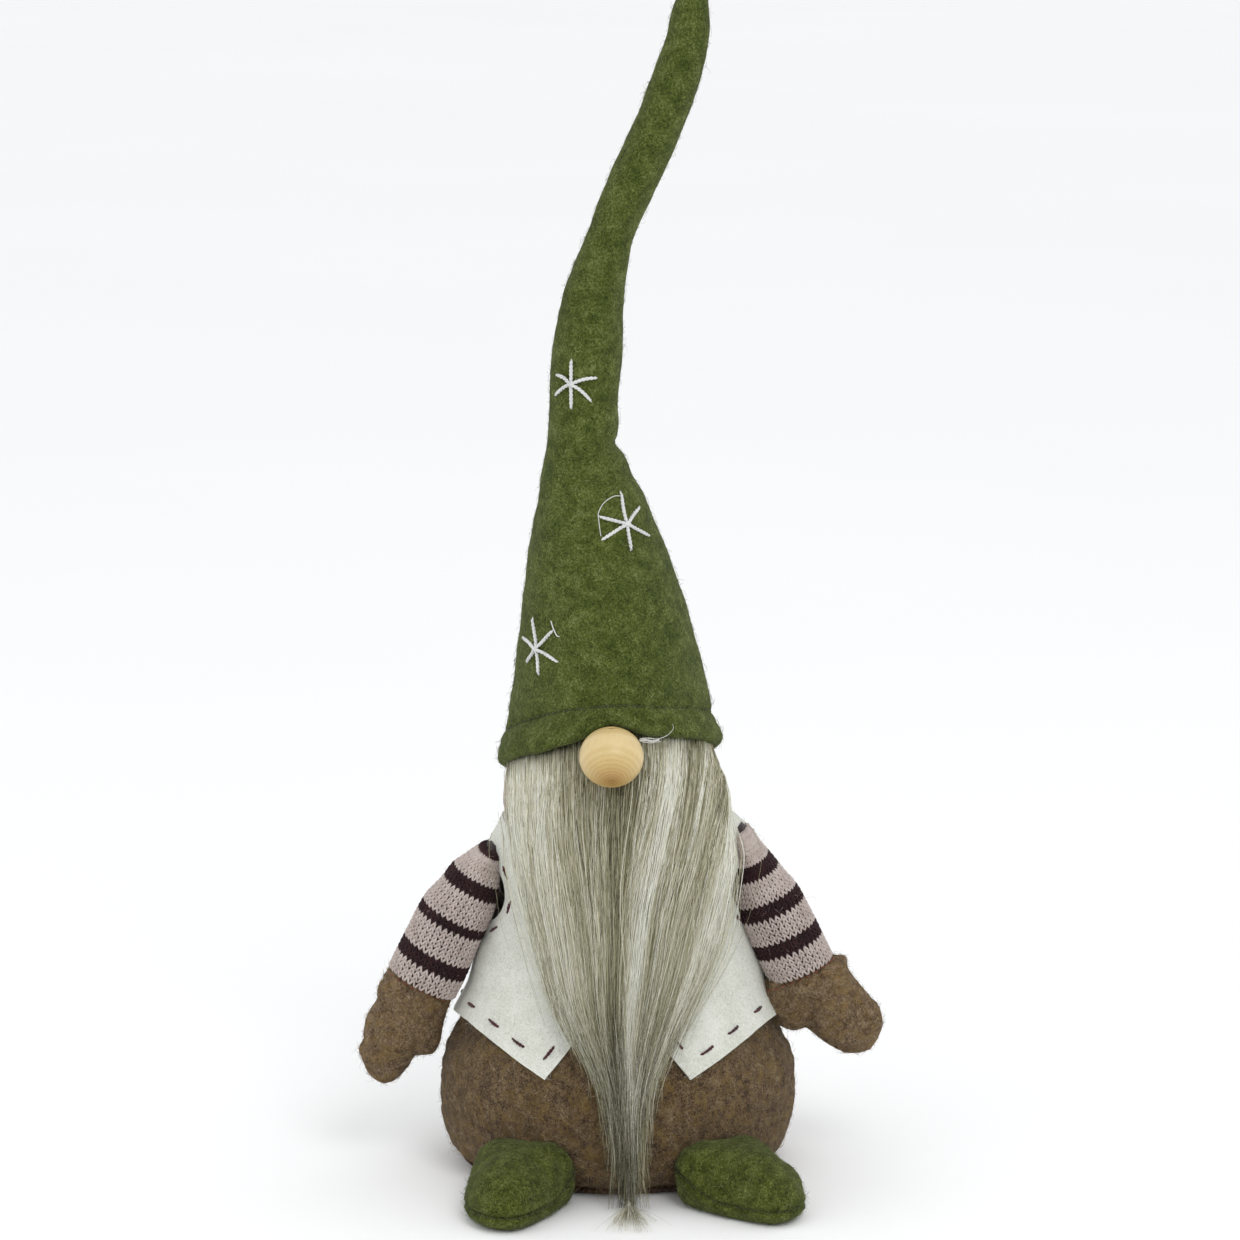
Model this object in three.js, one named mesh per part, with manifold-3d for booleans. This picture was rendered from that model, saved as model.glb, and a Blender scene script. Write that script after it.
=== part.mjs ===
// A felt gnome figure with a tall bendable hat, a long fur beard, knitted sleeves and stuffed feet.
// Millimetres. The figure stands on z = 0, faces -Y, and its own left hand is on the +X side.
import * as THREE from "three";
import { mergeVertices } from "three/addons/utils/BufferGeometryUtils.js";
import Module from "manifold-3d";

const wasm = await Module();
wasm.setup();

// ---- Driving dimensions ----

const GAP = 0.5; // clearance between neighbouring layers
const FELT = 2.0; // wool felt of the body, vest, hat, mittens and feet
const JERSEY = 1.2; // head cover and sleeve knit
const STUFFING_GAP = FELT + GAP;
const TURN = 2 * Math.PI;
const FRONT = -Math.PI / 2; // direction of -Y seen from above
const DEGREE = Math.PI / 180;

const BODY_SEGMENTS = 28;
const BODY_ROWS = 10;
const BODY_DEPTH_RATIO = 0.83;
const BODY_TOP = 138;
const BODY_WIDTHS = [[0, 57], [5, 64.5], [14, 69.5], [30, 72], [46, 70.5], [60, 63.5],
  [78, 54], [98, 47.5], [125, 44.5], [140, 42]];
const BASE_THICKNESS = 2;
const CARD_THICKNESS = 1.6;
const PELLET_TOP = 24;
const SIDE_SEAM_ANGLE = 0.25 * DEGREE;

const HEAD_DEPTH_RATIO = 0.86;
const HEAD_BOTTOM = 139;
const HEAD_TOP = 215;
const HEAD_WIDTHS = [[139, 38], [147, 41.5], [157, 41.2], [165, 39.5], [175, 37.8], [185, 35],
  [198, 29], [208, 20], [213, 11], [215, 0]];

const HAT_SEGMENTS = 20;
const HAT_TAIL_SEGMENTS = 14;
const HAT_HEM_HEIGHT = 13.5;
const HAT_HEM_EXTRA = 1.2;
const BRIM_HEIGHT = 167; // mean height of the brim's lower edge
const BRIM_RISE_SIDE = 4; // the brim is higher at the figure's left ear than at its right one
const BRIM_RISE_FRONT = 14.3; // and higher over the nose than at the nape
const HAT_CONE_TOP = 277;
const HAT_WIDTHS = [[152, 45.2], [165, 44.6], [174, 43.4], [183, 40.6], [212, 35.4], [242, 28.5],
  [269, 20.9], [285, 15.1], [294, 13.4], [325, 14.2], [353, 11.6], [374, 9.8], [391, 10.7],
  [427, 9.9], [447, 8.4], [463, 6.3], [469, 4], [472, 0]];
const HAT_CENTRES = [[152, -2.4], [183, -2.8], [212, -3.6], [242, -7.1], [269, -10.5], [285, -13.3],
  [294, -13.8], [325, -11.6], [353, -7.9], [374, -1.7], [391, 5], [427, 20.4], [447, 26.7],
  [463, 28.9], [472, 29]];
const HAT_LEAN = [[152, 0], [200, 1], [291, 6], [472, 6]]; // how far the hat leans back
const HAT_DEPTH_RATIOS = [[152, 0.97], [250, 0.94], [472, 0.92]];
const HAT_BEND_HEIGHT = 291;
const HAT_TIP_BEND_HEIGHT = 355;
const HAT_TIP_TOP = 472;
const BEND_GAP = 0.7;
const WIRE_RADIUS = 1.0;
const WIRE_HOLE_RADIUS = 1.5;

const NOSE = { x: -2.3, y: -53, z: 177.6, radius: 12.4, height: 23.4, boreRadius: 2 };
const NOSE_THREAD_RADIUS = 0.7;

const BEARD_SPLIT_HEIGHT = 151;
const BEARD_HINGE = { y: -46, z: 146 };
const BEARD_TOP_RADIUS = 4.6;
const BEARD_TIP_HEIGHT = 3;
const BEARD_LEFT_EDGE = [[3, 9.5], [22, 10.5], [45, 16], [61, 24], [76, 31], [100, 38], [151, 39]];
const BEARD_RIGHT_EDGE = [[3, 1], [22, -3], [38, -6.5], [53, -12], [69, -22], [84, -28], [102, -33], [151, -39]];
const BEARD_BACK = [[3, -66.5], [36, -65.5], [60, -60], [80, -54.5], [100, -48.5], [120, -44.5], [151, -41.4]];
const BEARD_THICKNESS = [[3, 3], [30, 5], [80, 8], [151, 9.2]];
const BEARD_SIDE_SWEEP = 12; // how far the beard's sides curve back round the chest

const VEST_CLEARANCE = 1.0;
const VEST_HEM_SIDE = 62;
const VEST_HEM_CORNER = 50;
const VEST_TOP = 136;
const ARMHOLE_BOTTOM = 104;
const ARMHOLE_HALF_ANGLE = 26 * DEGREE;

const SLEEVE_LENGTH = 58;
const SLEEVE_START = 4.4;
const SLEEVE_SEGMENTS = 14;
const SLEEVE_HALF_DEPTHS = [[0, 11.5], [14, 13.2], [30, 14], [58, 13.2]];
const SLEEVE_HALF_WIDTHS = [[0, 3.8], [8, 6.2], [20, 11], [34, 13.4], [58, 13]];
const SHOULDER_SEAM_RADIUS = 3.4;
const SHOULDER_SEAM_LENGTH = 20;
const MITTEN_LENGTH = 42.5;
const WRIST_GAP = 1;
const WRIST_SLANT_REACH = 0.5;
const MITTEN_ROWS = [0, 0.2, 0.4, 0.52, 0.64, 0.78, 0.9, 0.97, 1];
const MITTEN_OUTER_EDGE = [[0, 11.5], [0.28, 13.4], [0.63, 13.6], [0.85, 10.5], [0.95, 6.2], [1, 0]];
const MITTEN_THUMB_EDGE = [[0, 11.5], [0.18, 13], [0.4, 17], [0.52, 17.2], [0.64, 14], [0.78, 12.2],
  [0.9, 8.6], [0.97, 4.8], [1, 0]];
const MITTEN_HALF_THICKNESSES = [[0, 10], [0.6, 9.4], [0.85, 6.8], [0.95, 4], [1, 0]];
const ARMS = [
  { side: "left", sign: 1, pivot: [50.4, -6, 135], sleeveAngle: 23, mittenAngle: 46 },
  { side: "right", sign: -1, pivot: [-51, -6, 127.5], sleeveAngle: 27.5, mittenAngle: 18.4 },
];

const FOOT_LENGTH = 58;
const FOOT_WIDTH = 39.5;
const FOOT_SEAM_HEIGHT = 6.8;
const FOOT_HEIGHT = 24;
const FOOT_SEGMENTS = 20;
const FEET = [
  { side: "left", heel: [32, -43], toeOut: 38 },
  { side: "right", heel: [-33, -42], toeOut: -12 },
];

const STAR_YARN_RADIUS = 0.55;
// Each star is three crossing stitches: every entry is one end, as its direction and its length.
const STARS = {
  star_lower: { x: -31.6, z: 214.6, ends: [[98, 11.9], [51, 10.9], [155, 6.5], [274, 10.3], [238, 7.9], [336, 9.5]] },
  star_middle: { x: 3.1, z: 264, ends: [[100, 12.4], [44, 7.9], [163, 10.9], [282, 10.9], [212, 11.1], [327, 11.5]] },
  star_upper: { x: -18.1, z: 315.4, ends: [[90, 10], [14, 11], [153, 7], [270, 10], [219, 8.8], [320, 11]] },
};

// ---- Finishes ----

const FINISHES = {
  hatFelt: { color: 0x5c6a2c, roughness: 0.95 },
  footFelt: { color: 0x4c5a24, roughness: 0.95 },
  bodyFelt: { color: 0x6a563c, roughness: 0.95 },
  vestFelt: { color: 0xd8dacf, roughness: 0.95 },
  knit: { color: 0xbfafa8, roughness: 0.9 },
  jersey: { color: 0x9a6c66, roughness: 0.9 },
  fur: { color: 0xb4b49c, roughness: 0.6 },
  furBacking: { color: 0x8c8c78, roughness: 0.9 },
  wood: { color: 0xe0c690, roughness: 0.35 },
  yarn: { color: 0xdedede, roughness: 0.8 },
  thread: { color: 0xe6e6e0, roughness: 0.6 },
  stuffing: { color: 0xf2f2f0, roughness: 1 },
  pellets: { color: 0xb8b2a0, roughness: 0.7 },
  card: { color: 0xa88a60, roughness: 0.9 },
  steel: { color: 0x8c8c8c, roughness: 0.4, metalness: 1 },
};

// ---- Small helpers ----

const lerp = THREE.MathUtils.lerp;
const clamp = THREE.MathUtils.clamp;

/** A smooth function through [position, value] keys: cubic pieces with averaged slopes. */
function smoothKeys(keys) {
  const slopes = keys.map((key, i) => {
    const before = keys[Math.max(i - 1, 0)];
    const after = keys[Math.min(i + 1, keys.length - 1)];
    return (after[1] - before[1]) / (after[0] - before[0]);
  });
  return (position) => {
    const t = clamp(position, keys[0][0], keys[keys.length - 1][0]);
    let i = 0;
    while (i < keys.length - 2 && t > keys[i + 1][0]) i += 1;
    const span = keys[i + 1][0] - keys[i][0];
    const s = (t - keys[i][0]) / span;
    const rise = keys[i + 1][1] - keys[i][1];
    const bendStart = slopes[i] * span - rise;
    const bendEnd = rise - slopes[i + 1] * span;
    return keys[i][1] + rise * s + s * (1 - s) * (bendStart * (1 - s) + bendEnd * s);
  };
}

/** Evenly spaced numbers from first to last, both included. */
function steps(first, last, count) {
  return Array.from({ length: count + 1 }, (_, i) => lerp(first, last, i / count));
}

/** Turns a geometry into one indexed closed surface with its faces pointing out. */
function closed(geometry) {
  const bare = new THREE.BufferGeometry();
  bare.setAttribute("position", geometry.getAttribute("position"));
  if (geometry.index) bare.setIndex(geometry.index);
  const merged = mergeVertices(bare, 1e-4);
  const corners = merged.index.array;
  const position = merged.getAttribute("position");
  const kept = [];
  const [a, b, c] = [new THREE.Vector3(), new THREE.Vector3(), new THREE.Vector3()];
  let volume = 0;
  for (let i = 0; i < corners.length; i += 3) {
    const [ia, ib, ic] = [corners[i], corners[i + 1], corners[i + 2]];
    if (ia === ib || ib === ic || ic === ia) continue;
    kept.push(ia, ib, ic);
    a.fromBufferAttribute(position, ia);
    b.fromBufferAttribute(position, ib);
    c.fromBufferAttribute(position, ic);
    volume += a.dot(b.cross(c));
  }
  if (volume < 0) kept.reverse();
  merged.setIndex(kept);
  return merged;
}

/** Moves every vertex of a geometry to place(vertex, index). */
function reshaped(geometry, place) {
  const position = geometry.getAttribute("position");
  const vertex = new THREE.Vector3();
  for (let i = 0; i < position.count; i += 1) {
    const moved = place(vertex.fromBufferAttribute(position, i), i);
    position.setXYZ(i, moved.x, moved.y, moved.z);
  }
  return closed(geometry);
}

/** A unit slab bent into a curved panel: place(u, v, w) gives the point, with u, v and w from 0 to 1. */
function bentSlab(across, up, place) {
  const slab = new THREE.BoxGeometry(1, 1, 1, across, up, 1);
  return reshaped(slab, (p) => place(p.x + 0.5, p.y + 0.5, p.z + 0.5));
}

/** A turned profile whose point number j at each angle is given by place(angle, profile[j]). */
function turned(profile, segments, place) {
  const outline = profile.map((_, j) => new THREE.Vector2(1, j));
  const lathe = new THREE.LatheGeometry(outline, segments);
  return reshaped(lathe, (_, i) => {
    const angle = (Math.floor(i / profile.length) % segments) * (TURN / segments);
    return place(angle, profile[i % profile.length]);
  });
}

/** A closed round bar of constant section along a curve. */
function bar(curve, radius, sides, pieces) {
  const section = new THREE.Shape();
  section.absarc(0, 0, radius, 0, TURN, false);
  return closed(new THREE.ExtrudeGeometry(section, {
    steps: pieces,
    extrudePath: curve,
    curveSegments: sides,
  }));
}

function toManifold(geometry) {
  return new wasm.Manifold(new wasm.Mesh({
    numProp: 3,
    vertProperties: new Float32Array(geometry.getAttribute("position").array),
    triVerts: new Uint32Array(geometry.index.array),
  }));
}

function fromManifold(solid) {
  const mesh = solid.getMesh();
  const geometry = new THREE.BufferGeometry();
  geometry.setAttribute("position", new THREE.BufferAttribute(mesh.vertProperties, 3));
  geometry.setIndex(Array.from(mesh.triVerts));
  return geometry;
}

const joined = (...parts) => fromManifold(parts.map(toManifold).reduce((whole, part) => whole.add(part)));
const cut = (whole, tool) => fromManifold(toManifold(whole).subtract(toManifold(tool)));

const gnome = new THREE.Group();

function piece(name, geometry, finish) {
  const material = new THREE.MeshStandardMaterial({ metalness: 0, ...FINISHES[finish] });
  const mesh = new THREE.Mesh(geometry, material);
  mesh.name = name;
  gnome.add(mesh);
}

// ---- Body: felt skin, stuffing, and the weight that keeps the tall hat upright ----

const bodyWidth = smoothKeys(BODY_WIDTHS);

/** A point level with z, offset from the body's outer surface; fraction 0 is the middle axis. */
function bodyPoint(angle, z, offset = 0, fraction = 1) {
  const width = bodyWidth(z);
  return new THREE.Vector3(
    fraction * (width + offset) * Math.cos(angle),
    fraction * (width * BODY_DEPTH_RATIO + offset) * Math.sin(angle),
    z,
  );
}

/** A solid of the body's shape between two heights. */
function bodySolid(bottom, top, offset, rings, segments) {
  const profile = [[bottom, 0], ...steps(bottom, top, rings).map((z) => [z, 1]), [top, 0]];
  return turned(profile, segments, (angle, [z, fraction]) => bodyPoint(angle, z, offset, fraction));
}

function bodyPanel(firstAngle) {
  const skinBottom = BASE_THICKNESS + GAP;
  return bentSlab(BODY_SEGMENTS / 2, BODY_ROWS, (u, v, w) => {
    const angle = lerp(firstAngle + SIDE_SEAM_ANGLE, firstAngle + Math.PI - SIDE_SEAM_ANGLE, u);
    const crowdedLow = v ** 1.4; // more rows where the body rounds under
    return bodyPoint(angle, lerp(skinBottom, BODY_TOP, crowdedLow), lerp(-FELT, 0, w));
  });
}

function flatDisc(inset, bottom, thickness) {
  const outline = new THREE.Shape();
  const halfWidth = bodyWidth(0) - inset;
  const halfDepth = bodyWidth(0) * BODY_DEPTH_RATIO - inset;
  outline.absellipse(0, 0, halfWidth, halfDepth, 0, TURN, false, 0);
  const disc = new THREE.ExtrudeGeometry(outline, { depth: thickness, bevelEnabled: false, curveSegments: 20 });
  return closed(disc.translate(0, 0, bottom));
}

function addBody() {
  piece("body_front_panel", bodyPanel(Math.PI), "bodyFelt");
  piece("body_back_panel", bodyPanel(0), "bodyFelt");
  piece("base_panel", flatDisc(0, 0, BASE_THICKNESS), "bodyFelt");
  const cardBottom = BASE_THICKNESS + GAP;
  piece("base_card", flatDisc(3, cardBottom, CARD_THICKNESS), "card");

  const pelletBottom = cardBottom + CARD_THICKNESS + GAP;
  const pelletProfile = [[pelletBottom, 0, 0], [pelletBottom, 1, -14], [pelletBottom + 4, 1, -7],
    [PELLET_TOP - 5, 1, -7], [PELLET_TOP, 1, -16], [PELLET_TOP, 0, 0]];
  piece("pellet_bag", turned(pelletProfile, 20, (angle, [z, fraction, offset]) => (
    bodyPoint(angle, z, offset, fraction))), "pellets");
  piece("body_stuffing", bodySolid(PELLET_TOP + GAP, BODY_TOP - 1, -STUFFING_GAP, 8, BODY_SEGMENTS), "stuffing");
}

// ---- Head: a stuffed jersey ball between the body and the hat ----

const headWidth = smoothKeys(HEAD_WIDTHS);

function headPoint(angle, z, offset = 0, fraction = 1) {
  const width = Math.max(headWidth(z) + offset, 0) * fraction;
  return new THREE.Vector3(
    HAT_CENTRES[0][1] + width * Math.cos(angle),
    width * HEAD_DEPTH_RATIO * Math.sin(angle),
    z,
  );
}

function addHead() {
  const heights = [HEAD_BOTTOM, 143, 150, 160, 171, 184, 196, 205, 211];
  const innerHeights = heights.map((z, i) => (i > heights.length - 3 ? z - JERSEY : z));
  const shell = [
    [HEAD_TOP, 0, 0],
    ...heights.toReversed().map((z) => [z, 0, 1]),
    ...innerHeights.map((z) => [z, -JERSEY, 1]),
    [HEAD_TOP - 2 * JERSEY, 0, 0],
  ];
  const place = (angle, [z, offset, fraction]) => headPoint(angle, z, offset, fraction);
  piece("head_cover", turned(shell, HAT_SEGMENTS, place), "jersey");

  const filling = [
    [HEAD_BOTTOM, 0, 0],
    ...innerHeights.slice(0, -1).map((z) => [z, -JERSEY - GAP, 1]),
    [innerHeights.at(-2) + GAP, 0, 0],
  ];
  piece("head_stuffing", turned(filling, HAT_SEGMENTS, place), "stuffing");
}

// ---- Vest: two open fronts and a back, lying on the body ----

function vestPoint(angle, z, w) {
  return bodyPoint(angle, z, lerp(VEST_CLEARANCE, VEST_CLEARANCE + FELT, w));
}

/** How far the armhole eats into a panel's side edge at height z. */
function armholeInset(z) {
  const t = clamp((z - ARMHOLE_BOTTOM) / (VEST_TOP - ARMHOLE_BOTTOM), 0, 1);
  return ARMHOLE_HALF_ANGLE * Math.sqrt(1 - (1 - t) ** 2);
}

/** One vest front: sign is +1 on the figure's left. Angles are measured from the front's middle. */
function vestFront(sign) {
  const cornerAngle = 23 * DEGREE;
  const neckAngle = 4 * DEGREE;
  const sideAngle = 90 * DEGREE - SIDE_SEAM_ANGLE;
  return bentSlab(10, 12, (u, v, w) => {
    const hem = lerp(VEST_HEM_CORNER, VEST_HEM_SIDE, Math.sqrt(u));
    const z = lerp(hem, VEST_TOP, v);
    const openEdge = lerp(cornerAngle, neckAngle, Math.min(v * 1.6, 1));
    const sideEdge = sideAngle - armholeInset(z);
    return vestPoint(FRONT + sign * lerp(openEdge, sideEdge, u), z, w);
  });
}

function vestBack() {
  const sideAngle = 90 * DEGREE - SIDE_SEAM_ANGLE;
  return bentSlab(14, 12, (u, v, w) => {
    const z = lerp(VEST_HEM_SIDE, VEST_TOP, v);
    const sideEdge = sideAngle - armholeInset(z);
    return vestPoint(-FRONT + lerp(-sideEdge, sideEdge, u), z, w);
  });
}

function addVest() {
  piece("vest_front_left", vestFront(1), "vestFelt");
  piece("vest_front_right", vestFront(-1), "vestFelt");
  piece("vest_back", vestBack(), "vestFelt");
}

// ---- Hat: one bent cone of felt, here in three lengths that meet at the two bends of its wire ----

const hatWidth = smoothKeys(HAT_WIDTHS);
const hatCentre = smoothKeys(HAT_CENTRES);
const hatLean = smoothKeys(HAT_LEAN);
const hatDepthRatio = smoothKeys(HAT_DEPTH_RATIOS);

function brimHeight(angle) {
  return BRIM_HEIGHT + BRIM_RISE_SIDE * Math.cos(angle) - BRIM_RISE_FRONT * Math.sin(angle);
}

function hatAxis(z) {
  return new THREE.Vector3(hatCentre(z), hatLean(z), z);
}

function hatPoint(angle, z, offset = 0) {
  const width = Math.max(hatWidth(z) + offset, 0);
  const depth = Math.max(hatWidth(z) * hatDepthRatio(z) + offset, 0);
  return hatAxis(z).add(new THREE.Vector3(width * Math.cos(angle), depth * Math.sin(angle), 0));
}

/** A round hole along the hat's middle for the wire. */
function wireHolePoint(angle, z) {
  const hole = new THREE.Vector3(Math.cos(angle), Math.sin(angle), 0).multiplyScalar(WIRE_HOLE_RADIUS);
  return hatAxis(z).add(hole);
}

function wire(bottom, top, pieces) {
  const route = new THREE.CatmullRomCurve3(steps(bottom, top, pieces).map(hatAxis));
  return bar(route, WIRE_RADIUS, 2, pieces);
}

function addHatCone() {
  const hem = (HAT_HEM_HEIGHT - 1) / (HAT_CONE_TOP - BRIM_HEIGHT);
  const rows = [0, hem, 0.22, 0.36, 0.5, 0.64, 0.78, 0.9, 1];
  const shell = [
    ...rows.map((row) => [row, 0]),
    ...rows.toReversed().map((row) => [row, -FELT - (row <= hem ? HAT_HEM_EXTRA : 0)]),
    [0, 0],
  ];
  piece("hat_cone", turned(shell, HAT_SEGMENTS, (angle, [row, offset]) => (
    hatPoint(angle, lerp(brimHeight(angle), HAT_CONE_TOP, row), offset))), "hatFelt");

  const stuffingTop = HAT_CONE_TOP - 1;
  const heights = steps(HEAD_TOP + 2, stuffingTop, 5);
  const filling = [
    ...heights.map((z) => [z, false]),
    ...heights.toReversed().map((z) => [z, true]),
    [heights[0], false],
  ];
  piece("hat_cone_stuffing", turned(filling, HAT_TAIL_SEGMENTS, (angle, [z, isHole]) => (
    isHole ? wireHolePoint(angle, z) : hatPoint(angle, z, -STUFFING_GAP - GAP))), "stuffing");
  piece("hat_wire_lower", wire(HEAD_TOP + 4, stuffingTop - 1, 4), "steel");
}

/** A point on a hat length whose lower end is a ball round the bend, so that it can turn in place. */
function bentLengthPoint(angle, z, offset, bend) {
  if (z >= bend) return hatPoint(angle, z, offset);
  const ball = hatWidth(bend) + offset;
  const width = Math.sqrt(Math.max(ball ** 2 - (bend - z) ** 2, 0));
  const ballDepth = hatWidth(bend) * hatDepthRatio(bend) + offset;
  const depth = (width * ballDepth) / ball;
  return hatAxis(bend).setZ(z).add(new THREE.Vector3(width * Math.cos(angle), depth * Math.sin(angle), 0));
}

/** Heights down the ball under a bend, lowest first. */
function ballHeights(bend, offset) {
  const ball = hatWidth(bend) + offset;
  return [90, 68, 45, 22].map((latitude) => bend - ball * Math.sin(latitude * DEGREE));
}

function addHatLength(name, wireName, bend, top, rows, isTip) {
  const place = (angle, [z, offset]) => bentLengthPoint(angle, z, offset, bend);
  const outerHeights = [...ballHeights(bend, 0), ...steps(bend, top, rows)];
  const innerTop = isTip ? top - 3 * FELT : top;
  const innerHeights = [...ballHeights(bend, -FELT), ...steps(bend, innerTop, rows)];
  const outer = outerHeights.map((z) => [z, 0]);
  const inner = innerHeights.toReversed().map((z) => [z, -FELT]);
  const shell = isTip ? [...outer.slice(1), ...inner.slice(0, -1), outer[1]] : [...outer, ...inner];
  piece(name, turned(shell, HAT_TAIL_SEGMENTS, place), "hatFelt");

  const fillingTop = innerTop - (isTip ? 8 : 1);
  const fillingHeights = [...ballHeights(bend, -STUFFING_GAP).slice(1), ...steps(bend, fillingTop, rows)];
  const filling = [
    ...fillingHeights.map((z) => [z, false]),
    ...fillingHeights.toReversed().map((z) => [z, true]),
    [fillingHeights[0], false],
  ];
  piece(`${name}_stuffing`, turned(filling, HAT_TAIL_SEGMENTS / 2, (angle, [z, isHole]) => (
    isHole ? wireHolePoint(angle, z) : bentLengthPoint(angle, z, -STUFFING_GAP - GAP, bend))), "stuffing");
  piece(wireName, wire(bend - 5, fillingTop - 1, rows), "steel");
}

/** Embroidery: three yarn stitches that cross at the star's middle and follow the hat's surface. */
function star({ x, z, ends }) {
  const onHat = (px, pz) => {
    const reach = clamp((px - hatCentre(pz)) / hatWidth(pz), -0.96, 0.96);
    return hatPoint(-Math.acos(reach), pz, STAR_YARN_RADIUS + GAP);
  };
  const half = ends.length / 2;
  const stitches = steps(0, half - 1, half - 1).map((i) => {
    const route = [ends[i], ends[i + half]].map(([direction, length]) => [0.95, 0.5].map((share) => onHat(
      x + share * length * Math.cos(direction * DEGREE),
      z + share * length * Math.sin(direction * DEGREE),
    )));
    const points = [...route[0], onHat(x, z), ...route[1].toReversed()];
    return bar(new THREE.CatmullRomCurve3(points), STAR_YARN_RADIUS, 3, 4);
  });
  return joined(...stitches);
}

function addHat() {
  addHatCone();
  const tailTop = HAT_TIP_BEND_HEIGHT - hatWidth(HAT_TIP_BEND_HEIGHT) - BEND_GAP;
  addHatLength("hat_tail", "hat_wire_middle", HAT_BEND_HEIGHT, tailTop, 4, false);
  addHatLength("hat_tip", "hat_wire_upper", HAT_TIP_BEND_HEIGHT, HAT_TIP_TOP, 9, true);
  Object.entries(STARS).forEach(([name, layout]) => piece(name, star(layout), "yarn"));
}

// ---- Nose: a wooden bead threaded to the beard's backing ----

function addNose() {
  const { radius, height, boreRadius } = NOSE;
  const mouth = Math.asin(boreRadius / radius);
  const outer = steps(-Math.PI / 2 + mouth, Math.PI / 2 - mouth, 10).map((latitude) => (
    new THREE.Vector2(radius * Math.cos(latitude), (height / 2) * Math.sin(latitude))));
  const profile = [...outer, outer[0]];
  const bead = closed(new THREE.LatheGeometry(profile, 20).rotateX(Math.PI / 2));
  piece("nose_bead", bead.translate(NOSE.x, NOSE.y, NOSE.z), "wood");

  const thread = new THREE.CylinderGeometry(NOSE_THREAD_RADIUS, NOSE_THREAD_RADIUS, height, 8);
  thread.rotateX(Math.PI / 2);
  piece("nose_thread", closed(thread.translate(NOSE.x, NOSE.y, NOSE.z)), "thread");
}

// ---- Beard: fur fabric glued to the face, with long fur that hangs from it ----

const beardLeft = smoothKeys(BEARD_LEFT_EDGE);
const beardRight = smoothKeys(BEARD_RIGHT_EDGE);
const beardBack = smoothKeys(BEARD_BACK);
const beardThickness = smoothKeys(BEARD_THICKNESS);

function addBeard() {
  const backingReach = 55 * DEGREE;
  piece("beard_backing", bentSlab(10, 3, (u, v, w) => {
    const angle = FRONT + lerp(-backingReach, backingReach, u);
    return headPoint(angle, lerp(BEARD_SPLIT_HEIGHT, 184, v), lerp(GAP, GAP + JERSEY, w));
  }), "furBacking");

  const furReach = 74 * DEGREE;
  const furInside = 2 * GAP + JERSEY;
  const upper = bentSlab(12, 3, (u, v, w) => {
    const turn = lerp(-furReach, furReach, u);
    const thickness = 2.5 + 5.5 * Math.cos(turn) ** 2;
    const angle = FRONT + turn;
    const z = lerp(BEARD_SPLIT_HEIGHT, brimHeight(angle) - 2, v);
    return headPoint(angle, z, lerp(furInside, furInside + thickness, w));
  });
  const noseRoom = new THREE.SphereGeometry(NOSE.radius + 2 * GAP, 16, 10);
  noseRoom.translate(NOSE.x, NOSE.y, NOSE.z);
  piece("beard_fur_upper", cut(upper, closed(noseRoom)), "fur");

  piece("beard_fur_lower", bentSlab(8, 14, (u, v, w) => {
    const top = BEARD_HINGE.z;
    const z = lerp(top, BEARD_TIP_HEIGHT, v);
    const x = lerp(beardRight(z), beardLeft(z), u);
    const sweep = BEARD_SIDE_SWEEP * (x / BEARD_LEFT_EDGE.at(-1)[1]) ** 2;
    const back = beardBack(z) + sweep;
    const front = back - beardThickness(z) * (1 - 0.55 * Math.abs(2 * u - 1) ** 3);
    return new THREE.Vector3(x, lerp(back, front, w), z + (v === 0 ? BEARD_TOP_RADIUS * 0.4 : 0));
  }), "fur");
}

// ---- Arms: striped knit sleeves and felt mittens, sewn on at the shoulder ----

const sleeveDepth = smoothKeys(SLEEVE_HALF_DEPTHS);
const sleeveWidth = smoothKeys(SLEEVE_HALF_WIDTHS);

/** Sleeve point in the arm's own frame: the arm hangs down -Z from the shoulder at the origin. */
function sleevePoint(angle, along, offset, fraction = 1) {
  return new THREE.Vector3(
    fraction * (sleeveWidth(along) + offset) * Math.cos(angle),
    fraction * (sleeveDepth(along) + offset) * Math.sin(angle),
    -along,
  );
}

const mittenOuterEdge = smoothKeys(MITTEN_OUTER_EDGE);
const mittenThumbEdge = smoothKeys(MITTEN_THUMB_EDGE);
const mittenHalfThickness = smoothKeys(MITTEN_HALF_THICKNESSES);

/**
 * Mitten point in its own frame: it hangs down -Z from the wrist; t runs from 0 to 1 at the tip.
 * The wrist's edge is slanted by bend, so that it stays level with the sleeve's end.
 */
function mittenPoint(angle, t, inset, { thumbSign, bend }, fraction = 1) {
  const [outer, thumb] = [mittenOuterEdge(t), mittenThumbEdge(t)];
  const slimmer = 1 - inset / MITTEN_OUTER_EDGE[1][1];
  const thinner = 1 - inset / MITTEN_HALF_THICKNESSES[0][1];
  const halfWidth = fraction * slimmer * ((thumb + outer) / 2);
  const x = thumbSign * ((thumb - outer) / 2 + halfWidth * Math.cos(angle));
  const slant = Math.tan(bend) * Math.max(1 - t / WRIST_SLANT_REACH, 0);
  return new THREE.Vector3(
    x,
    fraction * thinner * mittenHalfThickness(t) * Math.sin(angle),
    -t * (MITTEN_LENGTH - inset) - x * slant,
  );
}

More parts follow.
